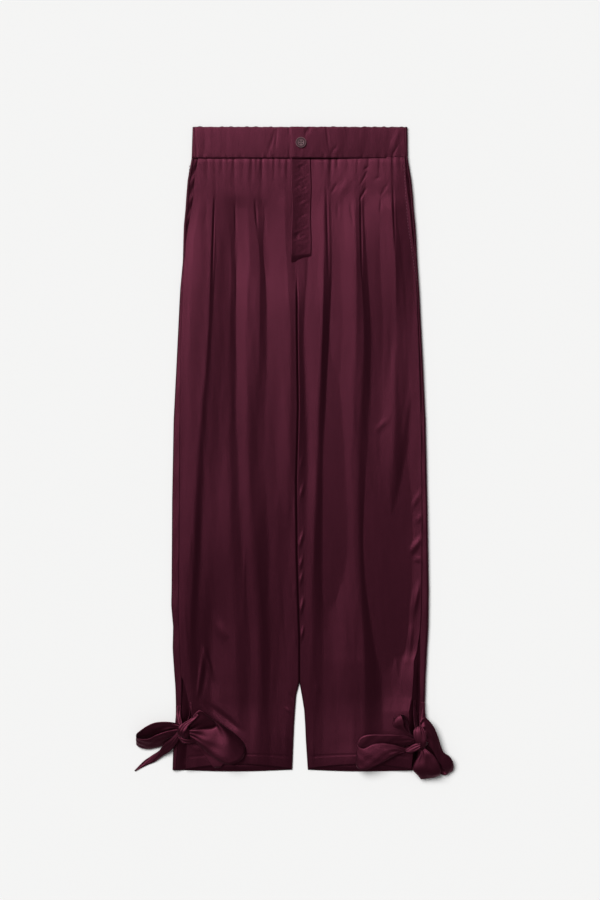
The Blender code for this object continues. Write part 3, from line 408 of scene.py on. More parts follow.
LEFT_BOW = {
    "loop_outer": millimetres(
        Rung,
        (-192, 953.9, 17, -192, 961.5, 14.5), (-201.8, 950.6, 17.5, -201.8, 964.1, 12.5),
        (-216.5, 949.5, 17.5, -216.5, 970.2, 9), (-231.2, 951.1, 17.5, -231.2, 974.3, 7),
        (-244.2, 956.6, 17.5, -245.1, 979.5, 6), (-254.9, 963.7, 17.5, -256.5, 984.9, 5.5),
        (-260.9, 970.2, 17, -261.9, 987.3, 5), (-257.6, 976.2, 16.5, -256, 992.6, 4.2),
        (-241.8, 977.2, 17, -242.6, 995.5, 3.6), (-229.2, 971, 17.5, -228.7, 993.2, 3.6),
        (-214.9, 965.8, 17.5, -215.7, 988.3, 4.5), (-201.8, 963, 17, -202.6, 979.2, 7),
        (-192, 961.2, 16, -192, 970.2, 12),
    ),
    "loop_inner": millimetres(
        Rung,
        (-179.8, 963.2, 17, -178.1, 972.6, 14.5), (-167.5, 961.9, 17.5, -165.1, 983.2, 15),
        (-154.4, 960.9, 17.2, -148.7, 997.9, 17.2), (-141.4, 959.6, 17, -131.6, 1009.4, 20),
        (-135.2, 957, 17, -115.3, 1017.4, 21.5), (-133.6, 953.9, 17.2, -103, 1015.1, 21.5),
        (-134.5, 950.6, 18, -93.2, 1009.9, 19), (-137.8, 946.8, 19, -87.2, 998.8, 14),
        (-142, 942.6, 20, -89.5, 985.7, 7), (-148.2, 937.4, 21, -98.9, 975.1, 2.8),
        (-156.4, 932.1, 20, -115.3, 972.3, 2.8), (-162.3, 931.8, 18.5, -131.6, 973.5, 3.2),
        (-168.5, 938, 17, -147.9, 974.3, 4.2), (-174.7, 948.1, 15.5, -162.6, 973.9, 6.5),
        (-178.6, 957.9, 13.5, -174, 970.2, 10.5),
    ),
    "tail_outer": millimetres(
        Rung,
        (-195.3, 966.4, 16.6, -190.4, 973.5, 16.2), (-207, 978.2, 14.4, -197.7, 985.4, 13),
        (-217.8, 987.3, 9.5, -206.7, 997.5, 8.5), (-225.5, 997.5, 5, -219.4, 1006.1, 4.5),
        (-238.5, 1006.6, 1.8, -233.1, 1016.4, 1.8), (-250.8, 1015.4, 1, -245.9, 1021.9, 1),
        (-265.1, 1030.1, 1, -264.2, 1031.4, 1),
    ),
    "tail_inner": millimetres(
        Rung,
        (-179.8, 974.3, 10.5, -184.7, 978.8, 10), (-165.9, 978.8, 9.2, -171.1, 986, 8.4),
        (-151.2, 990.3, 8.6, -159, 997.1, 7.6), (-135.7, 1002.8, 8, -147.1, 1012.5, 7),
        (-122.1, 1014.3, 6.6, -139.4, 1022.9, 6), (-124.7, 1021.3, 6, -130.6, 1026.2, 5.8),
    ),
    "band_front": millimetres(
        Rung,
        (-176, 920.4, 6.2, -173.1, 920.1, 5), (-175.7, 931.8, 9.5, -172.4, 931.5, 5.6),
        (-178.1, 944.9, 12.5, -175, 945.9, 7.5), (-184.7, 957.1, 15, -182.2, 958.3, 11),
    ),
    "band_back": millimetres(
        Rung,
        (-197.2, 925.3, 6.2, -190.4, 925.3, 6), (-197.6, 937.5, 7.6, -189.7, 937.5, 6.8),
        (-196.6, 947.3, 11, -189.1, 948.1, 10), (-193.6, 957.1, 14.5, -187.1, 957.9, 13.5),
    ),
    "knot_strap": millimetres(
        Rung,
        (-195.2, 970, 19, -187.2, 974, 20.5), (-195, 961, 22, -184, 967.2, 23.8),
        (-191.2, 954.5, 22.2, -179.8, 961, 23.8), (-184, 950, 21.2, -177, 954.8, 22.4),
        (-172.2, 943, 19.6, -168, 946.6, 20.6), (-163.2, 936.4, 18.6, -160, 938.6, 19.2),
    ),
    "knot_rim": millimetres(
        Rung,
        (-194.4, 971.2, 17, -193, 977.6, 15), (-186, 976, 19.5, -186, 983.6, 17.6),
        (-176.2, 978, 19, -175.8, 984.2, 17.2), (-167.2, 976.8, 16, -166.4, 982.2, 15),
    ),
}

RIGHT_BOW = {
    "loop_inner": millimetres(
        Rung,
        (184.9, 977.3, 18, 184.9, 983.7, 15.5), (169.6, 972.6, 19, 170.8, 988.4, 14),
        (152, 970.2, 19.5, 153.2, 994.9, 13), (135.5, 969.7, 19.5, 135.5, 1000.8, 12.5),
        (121.4, 969.3, 19.5, 119.1, 1006.1, 12), (107.3, 970, 19, 103.8, 1010.2, 12),
        (97.3, 974.3, 18, 93.2, 1014.3, 12.5), (92, 982, 17.5, 89.6, 1019, 13.5),
        (94.1, 988.8, 18, 91.8, 1023.4, 15.5), (102.8, 991.2, 19, 98.5, 1026.2, 17.5),
        (116.7, 984.6, 19.5, 111.4, 1024.1, 19), (130.8, 982.8, 20, 124.9, 1017.5, 20),
        (148.5, 985.3, 20, 143.2, 1007.3, 20), (164.9, 990.4, 19.5, 160.8, 999.4, 18.5),
        (184.9, 992.6, 18, 184.4, 996.3, 16),
    ),
    "loop_outer": millimetres(
        Rung,
        (191, 950, 18, 196.7, 983.2, 18.4), (198.5, 942.4, 16, 203.2, 982, 19.8),
        (212.6, 957, 14.5, 206.1, 988.4, 20), (220.7, 976.1, 13.2, 212, 995.5, 19.2),
        (228.2, 997.5, 12.4, 217.9, 1007.3, 18), (238.1, 1005.3, 11.6, 223.8, 1017.3, 16.4),
        (244, 1014.3, 10.4, 229.1, 1025.7, 14), (245.6, 1023.2, 8, 233.4, 1031.6, 10),
        (243.3, 1030.9, 4.6, 232.7, 1036.3, 5.4), (236.9, 1030.7, 2.2, 224.4, 1035.2, 2.2),
        (230.2, 1018.4, 2.4, 213.8, 1024.6, 2.2), (223.2, 1003.7, 5.5, 204.9, 1012, 4),
        (213.2, 991.4, 11, 199.6, 1000.8, 8.5), (201.4, 982, 14, 196.7, 992.6, 11.5),
    ),
    "tail_outer": millimetres(
        Rung,
        (192, 991.4, 16, 200.2, 992, 17.5), (190.8, 1002, 16.5, 207.3, 998.4, 20.5),
        (183.8, 1012.6, 15.5, 216.1, 1006.7, 20.5), (179.6, 1023.2, 15, 221.6, 1016.7, 20),
        (181.4, 1029, 14, 223.8, 1025.5, 19), (187.9, 1035.9, 11.5, 224.1, 1032.8, 16.5),
        (193.2, 1042.9, 8, 223.3, 1036.8, 12),
    ),
    "tail_inner": millimetres(
        Rung,
        (183.2, 974, 21, 182.4, 975.6, 19), (170.2, 964.9, 21, 167.5, 966.9, 18.6),
        (165.2, 955.9, 21.8, 159.3, 959.9, 18.4), (164.9, 948.8, 22, 149.6, 958.2, 18),
        (162.8, 942.2, 21.8, 147.5, 951.6, 17.4), (160.5, 938.2, 20.2, 150.6, 943.9, 15),
        (166.1, 939.6, 18.2, 161.2, 942, 11.5), (170.4, 946.1, 17.2, 167.8, 947.6, 10.6),
        (173.4, 956.1, 16.6, 171.8, 957.3, 10), (176.7, 967.9, 16, 175.8, 969, 11),
        (183.8, 977.9, 15, 183.2, 978.7, 12),
    ),
    "band_front": millimetres(
        Rung,
        (180.8, 916.1, 7, 184.9, 916.1, 4), (180.8, 930.2, 8, 186.7, 930.2, 4),
        (181.6, 945.5, 10, 188.7, 945.5, 5), (183.2, 959.6, 12.2, 189.1, 959.6, 7.4),
        (185.5, 973.7, 13.4, 189.6, 973.7, 13.2),
    ),
    "band_back": millimetres(
        Rung,
        (193.9, 919.6, 6.6, 199.1, 919.6, 6.3), (193.4, 932.6, 8, 199.6, 932.6, 7.2),
        (192.6, 945.5, 9.4, 200.9, 947.3, 8.4), (191.1, 957.3, 12, 199.1, 959.6, 11),
        (192, 971.4, 14.4, 197.9, 971.4, 13.6),
    ),
    "knot_strap": millimetres(
        Rung,
        (184.6, 958, 20, 192.8, 954.6, 22), (180.6, 964, 21.5, 199, 963.4, 24.8),
        (180.6, 973, 22.2, 201.4, 973, 25.6), (183.8, 981.6, 22.2, 200.6, 982.2, 25.2),
        (188.8, 988.8, 21.2, 199, 989, 23),
    ),
    "knot_flange": millimetres(
        Rung,
        (192, 982, 23.2, 191.6, 990.5, 23.8), (182, 984, 22, 184, 996, 23.2),
        (172.8, 990, 20.2, 175.6, 998.4, 21.6), (166.8, 994.2, 18.6, 169, 997, 19.4),
    ),
}


def smoothstep(value: Number) -> Number:
    """Ease a number or an array from 0 to 1."""
    value = np.clip(value, 0.0, 1.0)
    return value * value * (3 - 2 * value)


def smooth_curve(stations: Sequence[float], values: Sequence[float], at: Number) -> np.ndarray:
    """Read a smooth curve through values given at stations.

    Args:
        stations: where the values are, rising.
        values: the value at each station.
        at: where to read, a number or an array.

    Returns:
        The curve's value at each place, level beyond both ends.
    """
    stations = np.asarray(stations, dtype=float)
    values = np.asarray(values, dtype=float)
    slopes = np.gradient(values, stations)
    at = np.clip(np.asarray(at, dtype=float), stations[0], stations[-1])
    start = np.clip(np.searchsorted(stations, at, side="right") - 1, 0, len(stations) - 2)
    span = stations[start + 1] - stations[start]
    part = (at - stations[start]) / span
    square, cube = part**2, part**3
    return (
        (2 * cube - 3 * square + 1) * values[start]
        + (cube - 2 * square + part) * span * slopes[start]
        + (3 * square - 2 * cube) * values[start + 1]
        + (cube - square) * span * slopes[start + 1]
    )


def read_table(rows: Sequence[NamedTuple], column: str, down: Number) -> Number:
    """Straight reading of a table's column at a height or heights."""
    return np.interp(down, [row.down for row in rows], [getattr(row, column) for row in rows])


def run_lengths(places: np.ndarray, axis: int) -> np.ndarray:
    """Length along lines of places from their start.

    Args:
        places: places, with their three parts on the last axis.
        axis: the axis that the lines run along.

    Returns:
        The length up to each place, 0 at the start.
    """
    steps = np.linalg.norm(np.diff(places, axis=axis), axis=-1)
    run = np.cumsum(steps, axis=axis)
    return np.concatenate([np.zeros_like(np.take(run, [0], axis=axis)), run], axis=axis)


def as_grid(columns: Sequence[tuple[np.ndarray, ...]]) -> np.ndarray:
    """Rows of places from columns of (x, down, z)."""
    return np.stack([np.stack(column, axis=-1) for column in columns], axis=1)


def rolled_edge(turn: np.ndarray, radius: float, down: np.ndarray, angles: np.ndarray,
                pinch: Number = 1.0) -> list[tuple[np.ndarray, ...]]:
    """Columns round a half turn of cloth that stands on the ground.

    Args:
        turn: x of the half turn's centre at each height.
        radius: its radius, below 0 to turn to the left.
        down: the heights.
        angles: how far round each column lies, 0 on the ground.
        pinch: what its height is multiplied by.

    Returns:
        The columns of (x, down, z).
    """
    return [
        (turn + radius * math.sin(angle), down,
         CLOTH / 2 + abs(radius) * (1 - math.cos(angle)) * pinch + 0 * down)
        for angle in angles
    ]


def crease_relief(x: np.ndarray, down: np.ndarray, creases: Sequence[Crease]) -> np.ndarray:
    """Height that creases add to the cloth.

    Args:
        x: places across.
        down: places along.
        creases: the ridges and troughs, which fade past their ends.

    Returns:
        The height at each place.
    """
    total = np.zeros(x.shape)
    for crease in creases:
        run_x, run_down = crease.x1 - crease.x0, crease.down1 - crease.down0
        length = math.hypot(run_x, run_down)
        along = ((x - crease.x0) * run_x + (down - crease.down0) * run_down) / length
        side = ((x - crease.x0) * run_down - (down - crease.down0) * run_x) / length
        share = np.clip(along / length, 0.0, 1.0)
        beyond = np.maximum(np.abs(along - length / 2) - length / 2, 0.0)
        taper = 0.25 + 0.75 * np.sin(math.pi * share)
        fade = np.exp(-(side / crease.width) ** 2 - (beyond / crease.width / 1.6) ** 2)
        total += crease.height * taper * fade
    return total


def flatness(x: np.ndarray, down: np.ndarray) -> np.ndarray:
    """How freely the cloth swells round the flat spots.

    Args:
        x: places across.
        down: places along.

    Returns:
        1 where the cloth swells freely, 0 where it is pulled flat.
    """
    free = np.ones(np.broadcast(x, down).shape)
    for spot in FLAT_SPOTS:
        distance = np.hypot(x - spot.x, down - spot.down)
        free = np.minimum(free, smoothstep((distance - spot.inner) / (spot.outer - spot.inner)))
    return free


def levels() -> np.ndarray:
    """Heights of a panel's rows of points: closer together at the waist and the hem."""
    top = np.linspace(PANEL_TOP, 0.150, 60, endpoint=False)
    middle = np.linspace(0.150, 0.900, 180, endpoint=False)
    return np.concatenate([top, middle, np.linspace(0.900, HEM, 60)])


def settled(bm: bmesh.types.BMesh, name: str) -> bpy.types.Mesh:
    """Turn a mesh under construction into a finished one.

    Args:
        bm: the mesh under construction, which is freed.
        name: the finished mesh's name.

    Returns:
        The finished mesh.
    """
    mesh = bpy.data.meshes.new(name)
    bm.to_mesh(mesh)
    bm.free()
    return mesh


def put(name: str, data: bpy.types.ID | None) -> bpy.types.Object:
    """Link a new object to the scene.

    Args:
        name: the object's name.
        data: its mesh, light or camera.

    Returns:
        The object.
    """
    item = bpy.data.objects.new(name, data)
    bpy.context.scene.collection.objects.link(item)
    return item


def add_strand(bm: bmesh.types.BMesh, points: Sequence[Vector], radius: float, sides: int = 6) -> None:
    """Add a closed thin tube along points to a mesh under construction.

    Args:
        bm: the mesh under construction.
        points: the middle of the tube, none straight above another.
        radius: the tube's radius, drawn in at both ends.
        sides: how many sides it has.
    """
    rings = []
    last = len(points) - 1
    for index, point in enumerate(points):
        along = (points[min(index + 1, last)] - points[max(index - 1, 0)]).normalized()
        out = along.cross(Vector((0, 0, 1))).normalized()
        up = out.cross(along).normalized()
        reach = radius * (0.55 if index in (0, last) else 1.0)
        ring = []
        for number in range(sides):
            angle = 2 * math.pi * number / sides
            ring.append(bm.verts.new(point + (out * math.cos(angle) + up * math.sin(angle)) * reach))
        rings.append(ring)
    for lower, upper in zip(rings[:-1], rings[1:]):
        for number in range(sides):
            after = (number + 1) % sides
            bm.faces.new((lower[number], lower[after], upper[after], upper[number]))
    bm.faces.new(rings[0][::-1])
    bm.faces.new(rings[-1])


def tinted(colour: tuple[float, float, float], factor: float = 1.0) -> tuple[float, float, float, float]:
    """A colour for a socket, lighter or darker by a factor."""
    return tuple(channel * factor for channel in colour) + (1.0,)


@dataclass(frozen=True)
class Layout:
    """Where the garment's own places lie in the part's frame."""

    shift_x: float
    shift_y: float

    @classmethod
    def from_frame(cls) -> Layout:
        """Find the shift from the button, whose place on the garment is known.

        Returns:
            The layout.
        """
        low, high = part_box("button")
        middle = [(a + b) / 2 for a, b in zip(low, high)]
        return cls(middle[0] - BUTTON_X, middle[1] + BUTTON_DOWN)

    def point(self, x: float, down: float, z: float) -> Vector:
        """One place in the part's frame."""
        return Vector((x + self.shift_x, self.shift_y - down, z))

    def place(self, grid: np.ndarray) -> np.ndarray:
        """Move a grid of places into the part's frame.

        Args:
            grid: places (x, down, z).

        Returns:
            The same places in the part's frame.
        """
        out = np.array(grid, dtype=float)
        out[..., 0] += self.shift_x
        out[..., 1] = self.shift_y - out[..., 1]
        return out


class Dial:
    """A shader value that Python's operators turn into Math nodes."""

    def __init__(self, bench: Bench, socket: bpy.types.NodeSocket) -> None:
        """Wrap an output socket of a material that is being made."""
        self.bench = bench
        self.socket = socket

    def _math(self, operation: str, *values: Dial | float) -> Dial:
        """One Math node on these values."""
        return self.bench.node("Math", {"operation": operation}, dict(enumerate(values)))

    def __add__(self, other: Dial | float) -> Dial:
        """self + other."""
        return self._math("ADD", self, other)

    def __radd__(self, other: Dial | float) -> Dial:
        """other + self."""
        return self._math("ADD", other, self)

    def __sub__(self, other: Dial | float) -> Dial:
        """self - other."""
        return self._math("SUBTRACT", self, other)

    def __rsub__(self, other: Dial | float) -> Dial:
        """other - self."""
        return self._math("SUBTRACT", other, self)

    def __mul__(self, other: Dial | float) -> Dial:
        """self * other."""
        return self._math("MULTIPLY", self, other)

    def __rmul__(self, other: Dial | float) -> Dial:
        """other * self."""
        return self._math("MULTIPLY", other, self)

    def __truediv__(self, other: Dial | float) -> Dial:
        """self / other."""
        return self._math("DIVIDE", self, other)

    def __rtruediv__(self, other: Dial | float) -> Dial:
        """other / self."""
        return self._math("DIVIDE", other, self)

    def __pow__(self, other: Dial | float) -> Dial:
        """self ** other."""
        return self._math("POWER", self, other)

    def __rpow__(self, other: Dial | float) -> Dial:
        """other ** self."""
        return self._math("POWER", other, self)

    def sine(self) -> Dial:
        """The sine of an angle in radians."""
        return self._math("SINE", self)

    def clamped(self) -> Dial:
        """Held between 0 and 1."""
        return self.bench.node("Clamp", {}, {"Value": self})


class Bench:
    """A material under construction."""

    def __init__(self, name: str) -> None:
        """Start a node material with an empty tree.

        Args:
            name: the material's name.
        """
        self.material = bpy.data.materials.new(name)
        self.material.use_nodes = True
        self.tree = self.material.node_tree
        self.tree.nodes.clear()

    def node(self, kind: str, settings: dict, sockets: dict, output: int | str = 0) -> Dial | None:
        """Add a node.

        Args:
            kind: the node's type without "ShaderNode" in front.
            settings: its properties, set first.
            sockets: values or links for its inputs, by name or number.
            output: which output to hand back.

        Returns:
            The chosen output, or None from a node without outputs.
        """
        node = self.tree.nodes.new("ShaderNode" + kind)
        for key, value in settings.items():
            setattr(node, key, value)
        for key, value in sockets.items():
            target = node.inputs[key]
            if isinstance(value, Dial):
                self.tree.links.new(value.socket, target)
            else:
                target.default_value = value
        return Dial(self, node.outputs[output]) if len(node.outputs) else None

    def mix_colour(self, factor: Dial, low: tuple, high: tuple) -> Dial:
        """Blend two colours by a factor."""
        return self.node("Mix", {"data_type": "RGBA"}, {0: factor, 6: low, 7: high}, 2)

    def split(self, vector: Dial) -> tuple[Dial, Dial]:
        """The X and Y parts of a vector."""
        across = self.node("SeparateXYZ", {}, {"Vector": vector}, "X")
        return across, Dial(self, across.socket.node.outputs["Y"])

    def noise(self, vector: Dial, scale: tuple[float, float, float], detail: float,
              rough: float = 0.5) -> Dial:
        """Noise from 0 to 1.

        Args:
            vector: the place.
            scale: how many waves there are to a metre along each axis.
            detail: how many finer layers are added.
            rough: how strong the finer layers are.

        Returns:
            The noise.
        """
        scaled = self.node("VectorMath", {"operation": "MULTIPLY"}, {0: vector, 1: scale})
        sockets = {"Vector": scaled, "Scale": 1.0, "Detail": detail, "Roughness": rough}
        return self.node("TexNoise", {}, sockets)

    def bump(self, height: Dial, strength: float = 1.0) -> Dial:
        """A normal bent by a height in metres."""
        return self.node("Bump", {}, {"Strength": strength, "Distance": 1.0, "Height": height})

    def finish(self, **sockets: Dial | float | tuple) -> bpy.types.Material:
        """Add the Principled shader and the output.

        Args:
            sockets: the shader's inputs, with _ for a space.

        Returns:
            The finished material.
        """
        named = {key.replace("_", " "): value for key, value in sockets.items()}
        shader = self.node("BsdfPrincipled", {}, named)
        self.node("OutputMaterial", {}, {"Surface": shader})
        return self.material


class Lustre(Enum):
    """How glossy a satin face is: its roughness."""

    FACE = 0.345
    RIBBON = 0.44


@dataclass(frozen=True)
class Satin:
    """Plum satin: fine threads along the cloth, long soft streaks and a low broad gloss."""

    name: str
    colour: tuple[float, float, float]
    lustre: Lustre = Lustre.FACE
    metallic: float = 0.90
    sheen: float = 0.12
    sheen_tint: tuple[float, float, float, float] = (0.60, 0.22, 0.32, 1.0)
    thread: float = 0.0005
    thread_slant: float = 0.35
    thread_depth: float = 0.000012
    streak_depth: float = 0.00004
    crumple_depth: float = 0.00020
    streak_scale: tuple[float, float, float] = (420.0, 9.0, 1.0)
    crumple_scale: tuple[float, float, float] = (70.0, 22.0, 1.0)
    cloud_scale: tuple[float, float, float] = (16.0, 5.0, 1.0)

    def build(self) -> bpy.types.Material:
        """Make the material. Its UVs are metres: across the cloth and along it.

        Returns:
            The material.
        """
        bench = Bench(self.name)
        cloth = bench.node("UVMap", {"uv_map": "cloth"}, {})
        streaks = bench.noise(cloth, self.streak_scale, 3.0, 0.6)
        crumple = bench.noise(cloth, self.crumple_scale, 2.0)
        clouds = bench.noise(cloth, self.cloud_scale, 2.0)
        across, along = bench.split(cloth)
        turn = 2 * math.pi / self.thread
        weave = (across * turn + along * (turn * self.thread_slant)).sine()
        shade = (streaks * 0.55 + clouds * 0.45).clamped()
        height = weave * self.thread_depth + streaks * self.streak_depth + crumple * self.crumple_depth
        return bench.finish(
            Base_Color=bench.mix_colour(shade, tinted(self.colour, 0.86), tinted(self.colour, 1.16)),
            Metallic=self.metallic,
            Roughness=self.lustre.value - 0.05 + streaks * 0.06 + clouds * 0.05,
            Normal=bench.bump(height),
            Sheen_Weight=self.sheen,
            Sheen_Roughness=0.4,
            Sheen_Tint=self.sheen_tint,
            Specular_IOR_Level=0.5,
        )


@dataclass(frozen=True)
class Resin:
    """A dark button with faint swirls, and painted highlight that lightens its rim and its middle."""

    name: str
    colour: tuple[float, float, float]
    highlight_and_swirl_colour: tuple[float, float, float]
    rim: float = 0.94
    rim_width: float = 0.09
    middle: float = 0.68
    swirl_scale: tuple[float, float, float] = (380.0, 240.0, 300.0)
    scuff_scale: tuple[float, float, float] = (2400.0, 2400.0, 2400.0)
    scuff_depth: float = 0.00003

    def build(self) -> bpy.types.Material:
        """Make the material. Its UV map's X is the distance from the centre, 1 at the rim.

        Returns:
            The material.
        """
        bench = Bench(self.name)
        place = bench.node("TexCoord", {}, {}, "Object")
        swirl = bench.noise(place, self.swirl_scale, 3.0)
        reach, _ = bench.split(bench.node("UVMap", {"uv_map": "reach"}, {}))
        # Painted highlight: the rim and the middle are made lighter as if they caught the light; the swirls
        # share the lighter colour.
        rim_highlight = (1.0 - ((reach - self.rim) / self.rim_width) ** 2.0).clamped()
        painted_highlight = rim_highlight + (1.0 - (reach / self.middle) ** 6.0).clamped()
        mixed = (painted_highlight * 0.8 + swirl * 0.15).clamped()
        scuffs = bench.noise(place, self.scuff_scale, 2.0)
        return bench.finish(
            Base_Color=bench.mix_colour(mixed, tinted(self.colour), tinted(self.highlight_and_swirl_colour)),
            Roughness=0.50 + scuffs * 0.12,
            Metallic=0.0,
            Normal=bench.bump(scuffs * self.scuff_depth, 0.4),
            Specular_IOR_Level=0.2,
        )


@dataclass(frozen=True)
class Thread:
    """Matching sewing thread, twisted."""

    name: str
    colour: tuple[float, float, float]
    twist: float = 0.0006
    twist_depth: float = 0.00004

    def build(self) -> bpy.types.Material:
        """Make the material.

        Returns:
            The material.
        """
        bench = Bench(self.name)
        across, along = bench.split(bench.node("TexCoord", {}, {}, "Object"))
        ply = ((across + along) * (2 * math.pi / self.twist)).sine()
        mixed = (ply * 0.5 + 0.5).clamped()
        return bench.finish(
            Base_Color=bench.mix_colour(mixed, tinted(self.colour), tinted(self.colour, 1.5)),
            Roughness=0.65,
            Metallic=0.0,
            Normal=bench.bump(ply * self.twist_depth),
            Specular_IOR_Level=0.1,
        )


@dataclass(frozen=True)
class Backdrop:
    """The plain pale surface that the garment lies on."""

    name: str
    colour: tuple[float, float, float]

    def build(self) -> bpy.types.Material:
        """Make the material.

        Returns:
            The material.
        """
        bench = Bench(self.name)
        grain = bench.noise(bench.node("TexCoord", {}, {}, "Object"), (3.0, 3.0, 3.0), 2.0)
        colour = bench.mix_colour(grain, tinted(self.colour, 0.995), tinted(self.colour))
        return bench.finish(Base_Color=colour, Roughness=0.9, Specular_IOR_Level=0.1)


Finish = Satin | Resin | Thread


@dataclass
class Workroom:
    """The finishes, and the ways that pieces of cloth are made and set in place."""

    layout: Layout
    satin: Satin = Satin("satin_face", (0.0510, 0.0068, 0.0166))
    # The ribbon is the same satin as the face; its colour is a little lighter as painted light, to brighten
    # the bows' tilted faces.
    ribbon: Satin = Satin("satin_ribbon", (0.0555, 0.0076, 0.0182), Lustre.RIBBON)
    # The button's second, lighter colour is painted highlight on its rim and middle, and the tone of its
    # swirls.
    button: Resin = Resin("button_resin", (0.028, 0.009, 0.013), (0.19, 0.105, 0.12))
    # The button thread is near black: real thread, darkened further as painted shade in the button's holes.
    button_thread: Thread = Thread("button_thread", (0.006, 0.002, 0.003))
    thread: Thread = Thread("sewing_thread", (0.110, 0.034, 0.055))
    materials: dict[str, bpy.types.Material] = field(default_factory=dict)

    def material(self, finish: Finish) -> bpy.types.Material:
        """The material of a finish, made once.

        Args:
            finish: the finish.

        Returns:
            Its material.
        """
        if finish.name not in self.materials:
            self.materials[finish.name] = finish.build()
        return self.materials[finish.name]

    def add(self, name: str, mesh: bpy.types.Mesh, finish: Finish, slot: str,
            nodes: Sequence[str] = ()) -> bpy.types.Object:
        """Put a mesh into the scene as a piece of the trousers.

        Args:
            name: the piece's name.
            mesh: its mesh, in the part's frame.
            finish: what it is made of.
            slot: not used.
            nodes: the solids that it replaces.

        Returns:
            The piece.
        """
        piece = put(name, mesh)
        mesh.materials.append(self.material(finish))
        mesh.shade_smooth()
        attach(piece, "root")
        if nodes:
            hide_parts(*nodes)
        LOG.info("%s: %d faces", name, len(mesh.polygons))
        return piece

    def sheet(self, name: str, grid: np.ndarray, wall: float, finish: Finish, slot: str = "satin",
              nodes: Sequence[str] = (), bevel: float = 0.0) -> bpy.types.Object:
        """Make a piece of cloth about a grid of places.

        Args:
            name: the piece's name.
            grid: rows of places (x, down, z), the first index along the cloth.
            wall: the cloth's thickness.
            finish: what it is made of.
            slot: the record's slot.
            nodes: the solids that it replaces.
            bevel: how far its edges are rounded.

        Returns:
            The piece.
        """
        places = self.layout.place(grid)
        rows, columns = places.shape[:2]
        index = np.arange(rows * columns).reshape(rows, columns)
        corners = [index[:-1, :-1], index[1:, :-1], index[1:, 1:], index[:-1, 1:]]
        faces = np.stack(corners, axis=-1).reshape(-1, 4)
        mesh = bpy.data.meshes.new(name)
        mesh.from_pydata(places.reshape(-1, 3).tolist(), [], faces.tolist())
        across = run_lengths(places, 1)
        across -= across[:, columns // 2:columns // 2 + 1]
        along = run_lengths(places[:, columns // 2], 0)
        spots = np.stack([across, np.repeat(along[:, None], columns, axis=1)], axis=-1).reshape(-1, 2)
        layer = mesh.uv_layers.new(name="cloth")
        layer.data.foreach_set("uv", spots[faces.reshape(-1)].astype(np.float32).reshape(-1))
        piece = self.add(name, mesh, finish, slot, nodes)
        self._thicken(piece, wall, bevel)
        return piece

    @staticmethod
    def _thicken(piece: bpy.types.Object, wall: float, bevel: float) -> None:
        """Give a piece its thickness, and rounded edges where it has them.

        Args:
            piece: the piece.
            wall: its thickness.
            bevel: how far its edges are rounded, 0 for not at all.
        """
        solid = piece.modifiers.new("wall", "SOLIDIFY")
        solid.thickness = wall
        solid.offset = 0.0
        solid.use_even_offset = False
        if bevel:
            round_off = piece.modifiers.new("edges", "BEVEL")
            round_off.width = bevel
            round_off.segments = 3
            round_off.limit_method = "ANGLE"
            round_off.angle_limit = math.radians(50)


class HeightMap:
    """The highest cloth over each small square below the calf, for what lies on it."""

    CELL = 0.0015
    START = 0.88

    def __init__(self, grids: Sequence[np.ndarray]) -> None:
        """Read the tops of finished grids of places.

        Args:
            grids: the grids (x, down, z) of the cloth.
        """
        self.cells: dict[tuple[int, int], float] = {}
        for grid in grids:
            fine = self._refined(grid)
            columns = np.floor(fine[:, 0] / self.CELL).astype(int)
            rows = np.floor(fine[:, 1] / self.CELL).astype(int)
            for column, row, z in zip(columns, rows, fine[:, 2]):
                self.cells[column, row] = max(z, self.cells.get((column, row), z))

    def _refined(self, grid: np.ndarray) -> np.ndarray:
        """Points of a grid below the start, with points between them.

        Args:
            grid: the grid (x, down, z) of the cloth.

        Returns:
            The points, one a row.
        """
        rows = grid[grid[:, 0, 1] > self.START]
        both = np.concatenate([rows, (rows[:-1] + rows[1:]) / 2])
        between = (both[:, :-1] + both[:, 1:]) / 2
        return np.concatenate([both.reshape(-1, 3), between.reshape(-1, 3)])

    def height(self, x: float, down: float) -> float:
        """Height of the cloth at and just round a place.

        Args:
            x: the place across.
            down: the place along.

        Returns:
            The height, 0 where there is no cloth.
        """
        column, row = math.floor(x / self.CELL), math.floor(down / self.CELL)
        return max(self.cells.get((column + i, row + j), 0.0) for i in (-1, 0, 1) for j in (-1, 0, 1))


@dataclass(frozen=True)
class Leg:
    """One leg's cut: its side, facets, gathers and creases, and how high its edges lie."""

    name: str
    side: int
    rows: tuple[SideRow, ...]
    facets: tuple[Facet, ...]
    gathers: tuple[Gather, ...]
    creases: tuple[Crease, ...]
    stitches: tuple[StitchRow, ...]
    edge_top: float
    seam_height: float
    front_rise: float
    slit_start: float
    slit_rise: float
    slit_cover: float
    seed: int
    slit_length: float = 0.070
    joined_within: float = 0.0008
    joining: float = 0.0020
    tuck_under: float = 0.0016

    def outline(self, down: Number) -> Number:
        """x of the outermost cloth."""
        return read_table(self.rows, "outline", down)

    def seam(self, down: Number) -> Number:
        """x of the end of the back's turned edge."""
        return read_table(self.rows, "seam", down)

    def mouth(self, down: Number) -> Number:
        """x of the front's outer edge as it shows at the pocket and the slit."""
        return read_table(self.rows, "front", down)

    def front_edge(self, down: Number) -> Number:
        """x of the front panel's outer edge, tucked under the seam where the two are joined.

        Args:
            down: the height or heights.

        Returns:
            The x at each height.
        """
        front = self.mouth(down)
        apart = (self.seam(down) - front) * self.side
        joined = 1 - smoothstep((apart - self.joined_within) / self.joining)
        return front + self.side * self.tuck_under * joined

    def slit(self, down: Number) -> Number:
        """1 where the side is open at the ankle, 0 elsewhere."""
        return smoothstep((down - self.slit_start) / self.slit_length)

    def inner_edge(self, down: Number) -> Number:
        """x of the panel's inner edge."""
        return read_table(CENTRE, "x", down) + self.side * read_table(CENTRE, "gap", down) / 2


